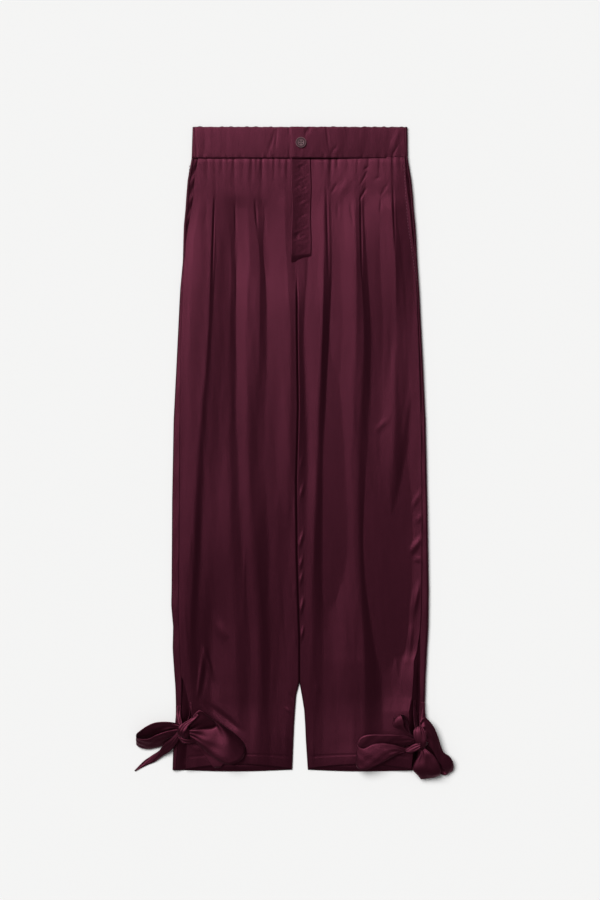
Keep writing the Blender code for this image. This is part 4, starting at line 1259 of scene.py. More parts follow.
@dataclass(frozen=True)
class FrontPanel:
    """A front panel: tucks at the top that open into long folds down to a turned-up hem."""

    leg: Leg
    columns: int = 11
    tucked_share: float = 0.4
    opening_start: float = 0.104
    opening: float = 0.030
    looseness: float = 0.009
    seam_blend: float = 0.12
    inner_rise: float = 0.0010
    inner_blend: float = 0.08
    slit_spread: float = 0.030
    lip: float = 0.0024
    lip_start: float = FLY_END + 0.020
    lip_blend: float = 0.060
    lip_reach: tuple[float, ...] = (0.62, 0.30, 0.08, 0.0)
    lip_fall: tuple[float, ...] = (0.15, 0.45, 0.8, 1.0)
    waves: Waves = Waves(0.00014, (0.026, 0.070), (0.25, 0.9))
    ripples: Waves = Waves(0.00003, (0.008, 0.020), (0.06, 0.20))
    waves_start: float = 0.10
    waves_blend: float = 0.15
    calm_edge: float = 0.012
    seam_ridge: float = 0.0004
    ridge_start: float = 0.049
    ridge_climb: float = 0.008
    ridge_fade: float = 0.080
    gather_width: float = 0.0024
    gather_spread: float = 0.04
    stitch_depth: float = 0.00035
    stitch_width: float = 0.0009
    stitch_pucker: float = 0.0001
    stitch_pitch: float = 0.009
    hem_depth: float = 0.020
    hem_rise: float = 0.008
    hem_rise_reach: float = 0.045
    hem_lift: float = 0.0050
    hem_lift_reach: float = 0.110

    def _lines(self, left: np.ndarray, right: np.ndarray, down: np.ndarray) -> np.ndarray:
        """Find the fold lines.

        Args:
            left: x of the panel's left edge at each height.
            right: x of its right edge.
            down: the heights.

        Returns:
            x of every fold line and of both edges, from left to right, at each height.
        """
        lines = [left]
        for facet in self.leg.facets[1:]:
            line = smooth_curve(FACET_STATIONS, facet.start, down) * MILLIMETRE
            lines.append(np.clip(line, lines[-1] + MILLIMETRE, right - MILLIMETRE))
        return np.stack(lines + [right], axis=1)

    def _slope(self, x: np.ndarray, lines: np.ndarray, down: np.ndarray) -> np.ndarray:
        """Slope of the cloth across the leg, eased from facet to facet.

        Args:
            x: places across, a row for each height.
            lines: x of the fold lines at each height.
            down: the heights.

        Returns:
            The slope at each place.
        """
        slope = np.zeros(x.shape)
        before = np.zeros(down.shape)
        looser = self.looseness * smoothstep((down - HIP) / (KNEE - HIP))
        opened = smoothstep((down - self.opening_start) / self.opening)
        for facet, line in zip(self.leg.facets, lines.T):
            lean = np.tan(np.radians(smooth_curve(FACET_STATIONS, facet.lean, down)))
            width = np.maximum(facet.soft * MILLIMETRE + looser * (facet.soft > 0), 1e-5)[:, None]
            slope += (lean - before)[:, None] * smoothstep((x - line[:, None]) / width + 0.5)
            before = lean
        return slope * (self.tucked_share + (1 - self.tucked_share) * opened)[:, None]

    def _across(self, lines: np.ndarray) -> np.ndarray:
        """Places across the leg, closer together at the fold lines.

        Args:
            lines: x of the fold lines at each height.

        Returns:
            x of the places, a row for each height.
        """
        steps = np.linspace(0, 1, self.columns, endpoint=False)
        shares = 0.4 * steps + 0.6 * (0.5 - 0.5 * np.cos(math.pi * steps))
        x = lines[:, :-1, None] + np.diff(lines, axis=1)[:, :, None] * shares
        return np.concatenate([x.reshape(len(lines), -1), lines[:, -1:]], axis=1)

    def grid(self) -> np.ndarray:
        """Make the panel's middle surface.

        Returns:
            Rows of places (x, down, z).
        """
        leg, down = self.leg, levels()
        outer, inner = leg.front_edge(down), leg.inner_edge(down) + leg.side * self.lip
        at_seam = smoothstep((down - POCKET_END) / self.seam_blend + 0.5)
        outer_rise = POCKET_RISE + (leg.seam_height + leg.front_rise - FRONT_BASE - POCKET_RISE) * at_seam
        inner_rise = self.inner_rise * smoothstep((down - FLY_END) / self.inner_blend)
        (left, left_rise), (right, right_rise) = [(outer, outer_rise), (inner, inner_rise)][::-leg.side]
        lines = self._lines(left, right, down)
        x = self._across(lines)
        slope = self._slope(x, lines, down)
        climb = np.cumsum((slope[:, 1:] + slope[:, :-1]) / 2 * np.diff(x, axis=1), axis=1)
        climb = np.concatenate([np.zeros((len(down), 1)), climb], axis=1)
        share = (x - left[:, None]) / (right - left)[:, None]
        level = left_rise[:, None] + (right_rise - left_rise - climb[:, -1])[:, None] * share
        z = FRONT_BASE + level + climb * (0.5 + 0.5 * flatness(x, down[:, None]))
        at_slit = np.exp(-np.abs(x - outer[:, None]) / self.slit_spread)
        z += (leg.slit_rise * leg.slit(down))[:, None] * at_slit
        x, z = self._add_inner_lip(x, z, down)
        depth = np.repeat(down[:, None], x.shape[1], axis=1)
        z = np.maximum(z + self._relief(x, depth), LOWEST_FRONT)
        return self._hemmed(x, depth, z)

    def _add_inner_lip(self, x: np.ndarray, z: np.ndarray, down: np.ndarray) -> tuple[np.ndarray, np.ndarray]:
        """Turn the inner edge down to the back panel, where the inseam joins them.

        Args:
            x: places across, a row for each height.
            z: their heights above the surface.
            down: the heights down the garment.

        Returns:
            x and z with the lip's columns added on the inner side.
        """
        side = self.leg.side
        lip_x = self.leg.inner_edge(down)[:, None] + side * self.lip * np.array(self.lip_reach)
        top = z[:, -1:] if side < 0 else z[:, :1]
        turned = smoothstep((down - self.lip_start) / self.lip_blend)[:, None]
        lip_z = top - (top - LOWEST_FRONT) * turned * np.array(self.lip_fall)
        if side < 0:
            return np.concatenate([x, lip_x], axis=1), np.concatenate([z, lip_z], axis=1)
        return np.concatenate([lip_x[:, ::-1], x], axis=1), np.concatenate([lip_z[:, ::-1], z], axis=1)

    def _relief(self, x: np.ndarray, down: np.ndarray) -> np.ndarray:
        """Soft waves, gathers under the waistband, creases and the hem's stitch line.

        Args:
            x: places across.
            down: places along.

        Returns:
            The height that they add at each place.
        """
        leg = self.leg
        body = smoothstep((down - self.waves_start) / self.waves_blend)
        edge = np.minimum(np.abs(x - leg.front_edge(down)), np.abs(x - leg.inner_edge(down)))
        inside = smoothstep(edge / self.calm_edge)
        swell = self.waves.relief(x, down, leg.seed) + self.ripples.relief(x, down, leg.seed + 7)
        relief = swell * body * (0.4 + 0.6 * flatness(x, down)) * (0.2 + 0.8 * inside)
        ridge = smoothstep((down - self.ridge_start) / self.ridge_climb)
        relief += self.seam_ridge * ridge * (1 - smoothstep(down / self.ridge_fade - 1))
        below = down - BAND_HEIGHT
        for gather in leg.gathers:
            width = self.gather_width + self.gather_spread * below
            fade = 1 - smoothstep(below / gather.length)
            relief -= gather.depth * fade * np.exp(-((x - gather.x - gather.lean * below) / width) ** 2)
        relief += crease_relief(x, down, leg.creases)
        stitch = np.exp(-((down - (HEM - self.hem_depth)) / self.stitch_width) ** 2) * inside
        pucker = self.stitch_pucker * np.sin(x * 2 * math.pi / self.stitch_pitch)
        return relief + stitch * (pucker - self.stitch_depth)

    def _hemmed(self, x: np.ndarray, down: np.ndarray, z: np.ndarray) -> np.ndarray:
        """Curve the hem: shorter and lifted in the middle of the leg.

        Args:
            x: places across.
            down: places along.
            z: heights above the surface.

        Returns:
            Rows of places (x, down, z).
        """
        share = (x - x[:, :1]) / (x[:, -1:] - x[:, :1])
        middle = np.sin(math.pi * np.clip(share, 0, 1))
        z = z + self.hem_lift * middle * smoothstep((down - HEM) / self.hem_lift_reach + 1)
        down = down - self.hem_rise * middle * smoothstep((down - HEM) / self.hem_rise_reach + 1)
        return np.stack([x, down, z], axis=-1)


@dataclass(frozen=True)
class BackPanel:
    """A back panel: flat on the ground, its outer edge rolled up to the front's seam."""

    leg: Leg
    columns: int = 48
    roll_columns: int = 13
    slit_fold: float = 0.0036
    hem_sag: float = 0.0025
    hem_roll: float = 0.0030
    hem_roll_up: float = 0.007
    hem_roll_width: float = 0.006
    hem_reach: float = 0.05
    edge_gap: float = 0.0004
    edge_wave: float = 0.00015

    def _slit_fold(self, x: np.ndarray, down: np.ndarray) -> np.ndarray:
        """Height of the fold inside the ankle slit, which falls to the right across the opening.

        Args:
            x: places across.
            down: places along.

        Returns:
            The height at each place.
        """
        edges = (self.leg.seam(down), self.leg.mouth(down))
        low, high = np.minimum(*edges), np.maximum(*edges)
        fall = 1 - smoothstep((x - low) / np.maximum(high - low, MILLIMETRE))
        cover = smoothstep((x - low) / self.leg.slit_cover + 1)
        return self.slit_fold * self.leg.slit(down) * fall * cover

    def grid(self) -> np.ndarray:
        """Make the panel's middle surface.

        Returns:
            Rows of places (x, down, z).
        """
        leg, side = self.leg, self.leg.side
        down = np.append(levels()[:-1:2], HEM)
        radius = (leg.edge_top - CLOTH) / 2
        turn = leg.outline(down) - side * (radius + CLOTH / 2)
        inner = leg.inner_edge(down)
        hem_part = smoothstep((down - HEM + self.hem_reach) / self.hem_reach)
        roll = self.hem_roll * np.exp(-((down - (HEM - self.hem_roll_up)) / self.hem_roll_width) ** 2)
        columns = []
        for share in 1 - (1 - np.linspace(0, 1, self.columns)[:-1]) ** 2:
            middle = math.sin(math.pi * share)
            x = inner + (turn - inner) * share
            sag = (BACK_HEM - HEM + self.hem_sag * middle) * hem_part
            columns.append((x, down + sag, CLOTH / 2 + self._slit_fold(x, down) + roll * middle))
        edge_down = down + (BACK_HEM - HEM) * hem_part
        pinch = 1 - 0.06 * np.sin(down * 37.0 + leg.seed) * np.sin(down * 13.0)
        angles = np.linspace(0, math.pi, self.roll_columns)
        columns += rolled_edge(turn, side * radius, edge_down, angles, pinch)
        last_z = columns[-1][2]
        reach = np.minimum(leg.seam(down) * side, turn * side - self.edge_gap) * side
        for share in (0.25, 0.5, 0.75, 1.0):
            wave = self.edge_wave * np.sin(down * 90 + 3 * share)
            z = last_z + (leg.seam_height - last_z) * share + wave
            columns.append((turn + (reach - turn) * share, edge_down, z))
        return as_grid(columns)


@dataclass(frozen=True)
class PocketFacing:
    """The strip of cloth that shows inside the pocket's mouth."""

    leg: Leg
    top: float = PANEL_TOP + 0.001
    end: float = 0.212
    rows: int = 70
    columns: int = 12
    inset: float = 0.0021
    under: float = 0.0040
    height: float = 0.0036
    fall: float = 0.0016
    ripple: float = 0.00025

    def grid(self) -> np.ndarray:
        """Lay the strip between the back's edge and the front's.

        Returns:
            Rows of places (x, down, z).
        """
        down = np.linspace(self.top, self.end, self.rows)
        side = self.leg.side
        outer = self.leg.outline(down) - side * self.inset
        inner = self.leg.mouth(down) - side * self.under
        columns = []
        for share in np.linspace(0, 1, self.columns):
            ripple = self.ripple * np.sin(down * 210 + 5 * share) * math.sin(math.pi * share)
            from_left = share if side < 0 else 1 - share
            z = self.height - self.fall * from_left + ripple
            columns.append((outer + (inner - outer) * share, down, z))
        return as_grid(columns)


@dataclass(frozen=True)
class Waistband:
    """The waistband: two flat front pieces that lap at the button, and a gathered back."""

    height: float = BAND_HEIGHT
    half_width: float = 0.1720
    left_flare: float = 0.0016
    right_flare: float = 0.0008
    edge_top: float = 0.0054
    edge_lip: float = 0.0014
    gathers: int = 22
    gather_height: float = 0.0011
    gather_peek: float = 0.0018
    front_middle: float = 0.0043
    front_swell: float = 0.0004
    front_tilt: float = 0.006
    end_gap: float = 0.0038
    lap_rise: float = 0.0027
    lap_start: float = -0.0300
    lap_width: float = 0.1900
    pucker_reach: float = 0.006
    edge_waves: tuple[tuple[float, float, float], ...] = ((0.00018, 0.023, 0.0), (0.00012, 0.0087, 1.0))
    edge_reach: float = 0.012
    underlap_end: float = 0.0120
    bevel: float = 0.0005
    pucker: Waves = Waves(0.00012, (0.006, 0.016), (0.05, 0.2))
    waves: Waves = Waves(0.00004, (0.016, 0.050), (0.08, 0.3))

    def edges(self, down: np.ndarray) -> tuple[np.ndarray, np.ndarray]:
        """x of the left and right ends at a height."""
        share = np.clip(down / self.height, 0, 1)
        return -self.half_width - self.left_flare * share, self.half_width + self.right_flare * share

    def _relief(self, x: np.ndarray, down: np.ndarray) -> np.ndarray:
        """Soft creases across the front of the band.

        Args:
            x: places across.
            down: places along.

        Returns:
            The height that they add at each place.
        """
        at_seam = np.exp(-((self.height - down) / self.pucker_reach) ** 2)
        relief = crease_relief(x, down, BAND_CREASES) + at_seam * self.pucker.relief(x, down, 31)
        return relief + self.waves.relief(x, down, 33)

    def front_grid(self, start: float, end: float, lap: bool) -> np.ndarray:
        """Make one front piece's middle surface.

        Args:
            start: x of its left end, for the piece that laps over.
            end: x of its right end, for the piece that lies under.
            lap: whether it laps over the other.

        Returns:
            Rows of places (x, down, z).
        """
        rows, columns = 30, int(abs(end - start) / 0.0016)
        down = np.linspace(0.0, self.height, rows)[:, None] + np.zeros((1, columns))
        share = np.linspace(0.0, 1.0, columns)[None, :] + np.zeros((rows, 1))
        left, right = self.edges(down)
        low = start if lap else left + self.end_gap
        high = right - self.end_gap if lap else end
        x = low + (high - low) * share
        swell = self.front_swell * np.sin(math.pi * np.clip(down / self.height, 0, 1)) ** 0.5
        z = self.front_middle + self._relief(x, down) + swell - self.front_tilt * x
        if lap:
            z = z + self.lap_rise * (1 - smoothstep((x - self.lap_start) / self.lap_width))
        wavy = sum(height * np.sin(x * 2 * math.pi / pitch + turn) for height, pitch, turn in self.edge_waves)
        down = down + wavy * smoothstep(1 - down / self.edge_reach)
        return np.stack([x, down, z], axis=-1)

    def back_grid(self) -> np.ndarray:
        """Make the gathered back's middle surface, with its ends rolled up to the front.

        Returns:
            Rows of places (x, down, z).
        """
        down = np.concatenate([np.linspace(0, 0.012, 10), np.linspace(0.014, self.height, 14)])
        left, right = self.edges(down)
        radius = (self.edge_top - CLOTH) / 2
        left_turn, right_turn = left + radius + CLOTH / 2, right - radius - CLOTH / 2
        top = np.full(down.shape, self.edge_top - CLOTH / 2)
        angles = np.linspace(0, math.pi, 11)
        columns = [(left_turn + self.edge_lip, down, top)]
        columns += rolled_edge(left_turn, -radius, down, angles[::-1])
        draw = np.random.default_rng(5)
        ends = np.cumsum(draw.uniform(0.7, 1.3, self.gathers))
        ends = np.concatenate([[0.0], ends / ends[-1]])
        heights = draw.uniform(0.55, 1.0, self.gathers)
        steps = self.gathers * 8
        for share in np.arange(1, steps) / steps:
            gather = int(np.searchsorted(ends, share, side="right")) - 1
            local = (share - ends[gather]) / (ends[gather + 1] - ends[gather])
            wave = (0.5 - 0.5 * math.cos(2 * math.pi * local)) * heights[gather]
            peek = self.gather_peek * wave * smoothstep(1 - down / 0.014)
            fold = self.gather_height * wave * (0.75 + 0.25 * np.cos(down * 150 + 9 * share))
            columns.append((left_turn + (right_turn - left_turn) * share, down - peek, CLOTH / 2 + fold))
        columns += rolled_edge(right_turn, radius, down, angles)
        columns.append((right_turn - self.edge_lip, down, top))
        return as_grid(columns)

    def build(self, room: Workroom) -> None:
        """Make the three pieces.

        Args:
            room: where they are made.
        """
        under = self.front_grid(-self.half_width, self.underlap_end, False)
        over = self.front_grid(FLY_LEFT, self.half_width, True)
        left = room.sheet("band_front_left", under, BAND_CLOTH, room.satin,
                          nodes=["waistband_front_left"], bevel=self.bevel)
        right = room.sheet("band_front_right", over, BAND_CLOTH, room.satin,
                           nodes=["waistband_front_right"], bevel=self.bevel)
        back = room.sheet("band_back", self.back_grid(), CLOTH, room.satin, nodes=["waistband_back"])


@dataclass(frozen=True)
class FlyStrip:
    """The fly's strip: pressed, topstitched and crossed by small wrinkles."""

    left: float = FLY_LEFT
    right: float = FLY_RIGHT
    top: float = BAND_HEIGHT - 0.0015
    end: float = FLY_END
    left_height: float = 0.0050
    lowest: float = 0.0022
    left_wave: float = 0.0009
    right_wave: float = 0.0006
    end_slant: float = 0.0030
    end_fall: float = 0.0016
    crinkles: Waves = Waves(0.00006, (0.006, 0.014), (0.010, 0.030))

    def _resting(self, panel: np.ndarray, down: np.ndarray) -> np.ndarray:
        """Height of the front panel along the strip's right edge.

        Args:
            panel: the right front panel's grid.
            down: places along.

        Returns:
            The height at each place.
        """
        heights = [np.interp(self.right, row[:, 0], row[:, 2]) for row in panel]
        return np.interp(down, panel[:, 0, 1], heights)

    def grid(self, panel: np.ndarray) -> np.ndarray:
        """Make the strip's middle surface, whose right edge lies on the front panel.

        Args:
            panel: the right front panel's grid.

        Returns:
            Rows of places (x, down, z).
        """
        rows, columns = 110, 22
        down = np.linspace(self.top, self.end, rows)[:, None] + np.zeros((1, columns))
        share = np.linspace(0, 1, columns)[None, :] + np.zeros((rows, 1))
        low = self.left + self.left_wave * np.sin(down * 60) * smoothstep((down - 0.07) / 0.03)
        high = self.right + self.right_wave * np.sin(down * 71 + 1)
        x = low + (high - low) * share
        slant = self.end_slant * (share - 0.5) * smoothstep((down - 0.19) / 0.02)
        ending = smoothstep((down - self.end) / 0.012 + 1)
        edge = self._resting(panel, down) + CLOTH
        base = edge + (self.left_height - edge) * (1 - share) ** 1.6 - self.end_fall * ending
        wrinkles = crease_relief(x, down, FLY_CREASES) + self.crinkles.relief(down, x, 43)
        held = np.sin(math.pi * np.clip(share, 0.0, 1.0)) ** 0.4
        return np.stack([x, down - slant, np.maximum(base + wrinkles * held, self.lowest)], axis=-1)

    def build(self, room: Workroom, panel: np.ndarray) -> None:
        """Make the strip.

        Args:
            room: where it is made.
            panel: the right front panel's grid.
        """
        strip = room.sheet("fly_strip", self.grid(panel), CLOTH, room.satin, nodes=["fly_placket"])


@dataclass(frozen=True)
class Button:
    """A four-hole button with a raised rim, sewn on with a cross of thread."""

    radius: float = 0.0085
    down: float = 0.0256
    thickness: float = 0.0030
    hole: float = 0.00125
    spacing: float = 0.0038
    sides: int = 72
    post_height: float = 0.0006
    post_up: float = 0.0005
    bar_up: float = 0.0017
    bar_dip: float = 0.0010
    bar_radius: float = 0.0001
    bar_spread: float = 0.0002
    bar_cross: float = 0.00025

    def _turned(self, room: Workroom, seat: float) -> bpy.types.Mesh:
        """Turn the button's body from its profile.

        Args:
            room: where it is made.
            seat: height of its underside.

        Returns:
            The body, without its holes.
        """
        centre = room.layout.point(BUTTON_X, self.down, seat)
        bm = bmesh.new()
        rings = []
        for reach, height in BUTTON_PROFILE:
            ring = []
            for number in range(self.sides if reach else 1):
                angle = 2 * math.pi * number / self.sides
                spot = Vector((math.cos(angle), math.sin(angle), 0.0)) * (reach * self.radius)
                ring.append(bm.verts.new(centre + spot + Vector((0.0, 0.0, height * self.thickness))))
            rings.append(ring)
        for lower, upper in zip(rings[:-1], rings[1:]):
            for number in range(self.sides):
                after = (number + 1) % self.sides
                corners = [lower[number % len(lower)], lower[after % len(lower)],
                           upper[after % len(upper)], upper[number % len(upper)]]
                bm.faces.new(list(dict.fromkeys(corners)))
        layer = bm.loops.layers.uv.new("reach")
        for face in bm.faces:
            for loop in face.loops:
                loop[layer].uv = ((loop.vert.co - centre).to_2d().length / self.radius, 0.0)
        return settled(bm, "button_body")

    def hole_places(self) -> list[tuple[float, float]]:
        """Offsets of the holes from the centre."""
        half = self.spacing / 2
        return [(-half, -half), (half, -half), (half, half), (-half, half)]

    def _add_posts(self, room: Workroom, bm: bmesh.types.BMesh, radius: float, height: float,
                   z: float) -> None:
        """Add an upright round post at each hole.

        Args:
            room: where they are made.
            bm: the mesh under construction.
            radius: a post's radius.
            height: how tall it is.
            z: height of its middle.
        """
        for x, y in self.hole_places():
            made = bmesh.ops.create_cone(bm, cap_ends=True, segments=20, radius1=radius, radius2=radius,
                                         depth=height)
            place = room.layout.point(BUTTON_X + x, self.down + y, z)
            bmesh.ops.translate(bm, verts=made["verts"], vec=place)

    def build(self, room: Workroom, seat: float) -> None:
        """Make the button and the thread that holds it.

        Args:
            room: where they are made.
            seat: height of the button's underside.
        """
        cutter_bm = bmesh.new()
        self._add_posts(room, cutter_bm, self.hole, self.thickness * 4, seat)
        body = room.add("button_body", self._turned(room, seat), room.button, "button", ["button"])
        cutter = put("hole_cutter", settled(cutter_bm, "hole_cutter"))
        cut = body.modifiers.new("holes", "BOOLEAN")
        cut.operation = "DIFFERENCE"
        cut.object = cutter
        with bpy.context.temp_override(object=body, active_object=body, selected_objects=[body]):
            bpy.ops.object.modifier_apply(modifier="holes")
        bpy.data.objects.remove(cutter, do_unlink=True)
        body.data.shade_smooth()
        body.data.set_sharp_from_angle(angle=math.radians(50))
        self._sew(room, seat)

    def _sew(self, room: Workroom, seat: float) -> None:
        """Fill the holes with thread, and cross two thin double bars of it between them.

        Args:
            room: where it is made.
            seat: height of the button's underside.
        """
        bm = bmesh.new()
        places = self.hole_places()
        for first, second, rise in ((0, 2, 0.0), (1, 3, self.bar_cross)):
            (ax, ay), (bx, by) = places[first], places[second]
            across = Vector((-(by - ay), bx - ax, 0.0)).normalized()
            for shift in (-self.bar_spread, self.bar_spread):
                points = []
                for share in np.linspace(0, 1, 9):
                    z = seat + self.bar_up + rise - self.bar_dip * abs(2 * share - 1) ** 6
                    x, y = ax + (bx - ax) * share, ay + (by - ay) * share
                    points.append(room.layout.point(BUTTON_X + x, self.down + y, z) + across * shift)
                add_strand(bm, points, self.bar_radius)
        # Near-black thread posts fill the holes: partly real thread, partly painted shade in the holes.
        self._add_posts(room, bm, self.hole * 0.98, self.post_height, seat + self.post_up)
        room.add("button_thread", settled(bm, "button_thread"), room.button_thread, "button")


@dataclass(frozen=True)
class Ribbon:
    """One stretch of a tie, drawn in where it enters the knot."""

    rungs: tuple[Rung, ...]
    drawn_start: bool
    drawn_end: bool
    seed: int
    steps: int = 9
    columns: int = 15
    camber: float = 0.035
    pleat: float = 0.045
    drawn_length: float = 0.016
    soft: Waves = Waves(0.00025, (0.012, 0.03), (0.02, 0.06), 5)
    clearance: float = 0.0005
    off_ground: float = 0.0001

    def _edges(self) -> tuple[np.ndarray, np.ndarray]:
        """Smooth curves through the ribbon's two edges.

        Returns:
            Rows of places (x, -down, z) along one edge and along the other.
        """
        rungs = np.array(self.rungs) * (1, -1, 1, 1, -1, 1)
        places = np.arange(len(rungs), dtype=float)
        at = np.linspace(0, len(rungs) - 1, (len(rungs) - 1) * self.steps + 1)
        both = np.stack([smooth_curve(places, values, at) for values in rungs.T], axis=1)
        return both[:, :3], both[:, 3:]

    def grid(self, ground: HeightMap) -> np.ndarray:
        """Make the ribbon's middle surface, resting on what lies under it.

        Args:
            ground: heights of the cloth that it may lie on.

        Returns:
            Rows of places (x, down, z) along the ribbon.
        """
        first, second = self._edges()
        middle, width = (first + second) / 2, second - first
        normal = np.cross(np.gradient(middle, axis=0), width)
        normal /= np.linalg.norm(normal, axis=1)[:, None]
        reach = np.linalg.norm(width, axis=1)
        run = run_lengths(middle, 0)
        drawn = self.drawn_start * np.exp(-run / self.drawn_length)
        drawn = np.clip(drawn + self.drawn_end * np.exp(-(run[-1] - run) / self.drawn_length), 0, 1)
        columns = []
        for share in np.linspace(-0.5, 0.5, self.columns):
            bulge = self.camber * reach * (1 - 4 * share * share) * normal[:, 2]
            pleats = self.pleat * reach * drawn * math.cos(2 * math.pi * 3 * share + self.seed)
            soft = self.soft.relief(np.full(run.shape, share * 0.03), run, self.seed)
            columns.append(middle + width * share + normal * (bulge + pleats + soft)[:, None])
        out = np.stack(columns, axis=1) * (1, -1, 1)
        for place in out.reshape(-1, 3):
            under = ground.height(place[0], place[1])
            resting = under + self.clearance if under > 0 else 0.0
            place[2] = max(place[2], resting + RIBBON_CLOTH / 2 + self.off_ground)
        return out


@dataclass(frozen=True)
class Bow:
    """A bow tied in the ankle slit: a wrapped knot, two loops, two free ends and two ties."""

    leg: str
    size: KnotSize
    ribbons: dict[str, tuple[Rung, ...]]
    wrap_turn: float
    seed: int
    segments: tuple[int, int] = (96, 60)

    def build(self, room: Workroom, ground: HeightMap) -> None:
        """Make every stretch of the ties and the knot.

        Args:
            room: where they are made.
            ground: heights of the cloth that they may lie on.
        """
        for number, (part, rungs) in enumerate(self.ribbons.items()):
            is_band = part.startswith("band")
            ends_in_knot = is_band or part.startswith("loop")
            grid = Ribbon(rungs, not is_band, ends_in_knot, self.seed + number).grid(ground)
            stands_for = "knot" if part.startswith("knot") else part
            piece = room.sheet(f"{self.leg}_bow_{part}_cloth", grid, RIBBON_CLOTH, room.ribbon, "ribbon",
                               [f"{self.leg}_bow_{stands_for}"])
        self._knot(room)

    def _growth(self, spot: Vector) -> float:
        """How far the knot reaches past its plain round form in one direction.

        Args:
            spot: a place on a ball of radius 1.

        Returns:
            A factor near 1.
        """
        wrap = math.radians(self.wrap_turn)
        across = spot.x * math.cos(wrap) + spot.y * math.sin(wrap)
        along = -spot.x * math.sin(wrap) + spot.y * math.cos(wrap)
        angle = math.atan2(spot.z, along)
        band = math.exp(-((across + 0.22 * math.sin(angle * 2)) / 0.42) ** 6)
        ridge = 0.035 * math.cos(across * 17 + 1.6 * math.sin(angle)) * band
        second = math.exp(-((along - 0.30 + 0.3 * across) / 0.26) ** 4) * max(spot.z, 0.0)
        folds = 0.04 * math.sin(9 * math.atan2(spot.y, spot.x) + 3 * spot.z + self.seed) * (1 - band)
        return 0.88 + 0.10 * band + ridge + 0.05 * second + folds * (1 - abs(spot.z))

    def _knot(self, room: Workroom) -> None:
        """Make the knot: a crumpled core with a ribbon wrapped twice round it.

        Args:
            room: where it is made.
        """
        size = self.size
        name = f"{self.leg}_bow_knot"
        halves = Vector((size.half_x, size.half_y, size.half_z))
        centre = room.layout.point(size.x, size.down, size.z)
        bm = bmesh.new()
        bmesh.ops.create_uvsphere(bm, u_segments=self.segments[0], v_segments=self.segments[1], radius=1.0)
        for vert in bm.verts:
            vert.co = vert.co * halves * self._growth(vert.co) + centre
        mesh = settled(bm, f"{name}_cloth")
        layer = mesh.uv_layers.new(name="cloth")
        for loop in mesh.loops:
            place = mesh.vertices[loop.vertex_index].co
            layer.data[loop.index].uv = (place.x, place.y)
        room.add(f"{name}_cloth", mesh, room.ribbon, "ribbon", [name])


LEFT_LEG = Leg("left", -1, LEFT_SIDE, LEFT_FACETS, LEFT_GATHERS, LEFT_CREASES, LEFT_STITCHES,
               edge_top=0.0048, seam_height=0.0056, front_rise=0.0006, slit_start=0.880,
               slit_rise=0.0010, slit_cover=0.006, seed=11)
RIGHT_LEG = Leg("right", 1, RIGHT_SIDE, RIGHT_FACETS, RIGHT_GATHERS, RIGHT_CREASES, RIGHT_STITCHES,
                edge_top=0.0068, seam_height=0.0040, front_rise=-0.0004, slit_start=0.825,
                slit_rise=0.0034, slit_cover=0.040, seed=12)


@dataclass(frozen=True)
class Trousers:
    """The whole garment, built from its legs up."""

    room: Workroom
    legs: tuple[Leg, Leg] = (LEFT_LEG, RIGHT_LEG)
    stitch_pitch: float = 0.0052
    stitch_length: float = 0.0028
    stitch_radius: float = 0.0006
    stitch_arch: float = 0.0001
    stitch_search: float = 0.005

    def build(self) -> None:
        """Make every piece of the garment in the order that it is sewn."""
        grids = [grid for leg in self.legs for grid in self._leg(leg)]
        Waistband().build(self.room)
        FlyStrip().build(self.room, grids[-1])
        low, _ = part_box("button")
        Button().build(self.room, low[2])
        self._stitch(grids)
        ground = HeightMap(grids)
        Bow("left", LEFT_KNOT, LEFT_BOW, 20.0, 3).build(self.room, ground)
        Bow("right", RIGHT_KNOT, RIGHT_BOW, -35.0, 5).build(self.room, ground)

    def _leg(self, leg: Leg) -> list[np.ndarray]:
        """Make a leg's panels and pocket facing.

        Args:
            leg: the leg's cut.

        Returns:
            The grids that ribbons lie on: the back's and the front's.
        """
        grids = [BackPanel(leg).grid(), PocketFacing(leg).grid(), FrontPanel(leg).grid()]
        names = (("back_cloth", "back_panel"), ("facing_cloth", "pocket_facing"),
                 ("front_cloth", "front_panel"))
        back, facing, front = (
            self.room.sheet(f"{cloth}_{leg.name}", grid, CLOTH, self.room.satin,
                            nodes=[f"{solid}_{leg.name}"])
            for grid, (cloth, solid) in zip(grids, names)
        )
        return [grids[0], grids[-1]]

    def _stitch(self, grids: Sequence[np.ndarray]) -> None:
        """Sew the topstitching along the pockets, as small separate stitches on the cloth.

        Args:
            grids: the grids of the cloth that it lies on.
        """
        places = np.concatenate([grid.reshape(-1, 3) for grid in grids])
        arch = Vector((0, 0, self.stitch_arch))
        bm = bmesh.new()
        for rows in (leg.stitches for leg in self.legs):
            for down in np.arange(rows[0].down, rows[-1].down, self.stitch_pitch):
                ends = []
                for at in (down, down + self.stitch_length):
                    x = float(read_table(rows, "x", at))
                    near = places[np.hypot(places[:, 0] - x, places[:, 1] - at) < self.stitch_search]
                    ends.append(self.room.layout.point(x, at, near[:, 2].max() + CLOTH / 2))
                add_strand(bm, [ends[0], (ends[0] + ends[1]) / 2 + arch, ends[1]], self.stitch_radius)
        self.room.add("pocket_stitches", settled(bm, "pocket_stitches"), self.room.thread, "satin")


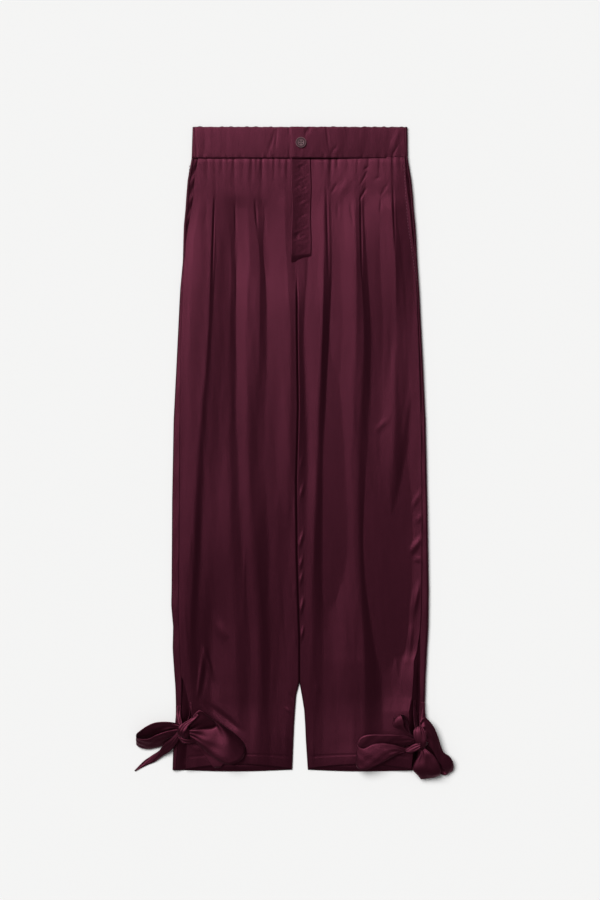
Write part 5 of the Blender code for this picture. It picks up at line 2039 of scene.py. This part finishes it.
@dataclass(frozen=True)
class Studio:
    """A pale floor, soft light from the upper left, and the camera straight above."""

    layout: Layout
    distance: float = 3.0
    aim_height: float = 0.004
    frame_height: float = 1.44
    aim_down: float = 0.5168
    sensor: float = 36.0
    floor_reach: float = 6.0
    paper: Backdrop = Backdrop("floor_paper", (0.88, 0.88, 0.875))
    sun_strength: float = 3.30
    sun_angle: float = 40.0
    sun_towards: tuple[float, float, float] = (-0.49, 0.58, 1.0)
    sky_strength: float = 0.20

    def build(self) -> None:
        """Set up everything round the garment."""
        self._floor()
        self._camera()
        self._sun()
        self._sky()
        view = bpy.context.scene.view_settings
        view.view_transform = "Standard"
        view.look = "None"
        view.exposure = 0.0

    def _floor(self) -> None:
        """A large plain floor just under the garment."""
        mesh = bpy.data.meshes.new("floor")
        corners = [(x * self.floor_reach, y * self.floor_reach, 0)
                   for x, y in ((-1, -1), (1, -1), (1, 1), (-1, 1))]
        mesh.from_pydata(corners, [], [(0, 1, 2, 3)])
        mesh.materials.append(self.paper.build())
        floor = put("floor", mesh)
        floor.location = (0.0, 0.0, -FLOOR_DROP)

    def _camera(self) -> None:
        """A camera straight above, framed as the photograph is."""
        data = bpy.data.cameras.new("camera")
        data.sensor_width = self.sensor
        data.lens = self.sensor * (self.distance - self.aim_height) / self.frame_height
        camera = put("camera", data)
        camera.location = self.layout.point(0.0, self.aim_down, self.distance)
        bpy.context.scene.camera = camera

    def _sun(self) -> None:
        """A broad soft light that comes from one direction."""
        data = bpy.data.lights.new("key_light", "SUN")
        data.energy = self.sun_strength
        data.angle = math.radians(self.sun_angle)
        light = put("key_light", data)
        light.rotation_euler = Vector(self.sun_towards).to_track_quat("Z", "Y").to_euler()

    def _sky(self) -> None:
        """Even pale light from all round."""
        world = bpy.data.worlds.new("studio")
        world.use_nodes = True
        background = world.node_tree.nodes["Background"]
        background.inputs["Color"].default_value = (1.0, 1.0, 1.0, 1.0)
        background.inputs["Strength"].default_value = self.sky_strength
        bpy.context.scene.world = world


def main() -> None:
    """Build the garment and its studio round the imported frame."""
    logging.basicConfig(level=logging.INFO, format="%(name)s: %(message)s")
    for obj in list(bpy.data.objects):
        bpy.data.objects.remove(obj, do_unlink=True)
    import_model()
    layout = Layout.from_frame()
    Trousers(Workroom(layout)).build()
    Studio(layout).build()
    bpy.context.view_layer.update()


if __name__ == "__main__":
    main()
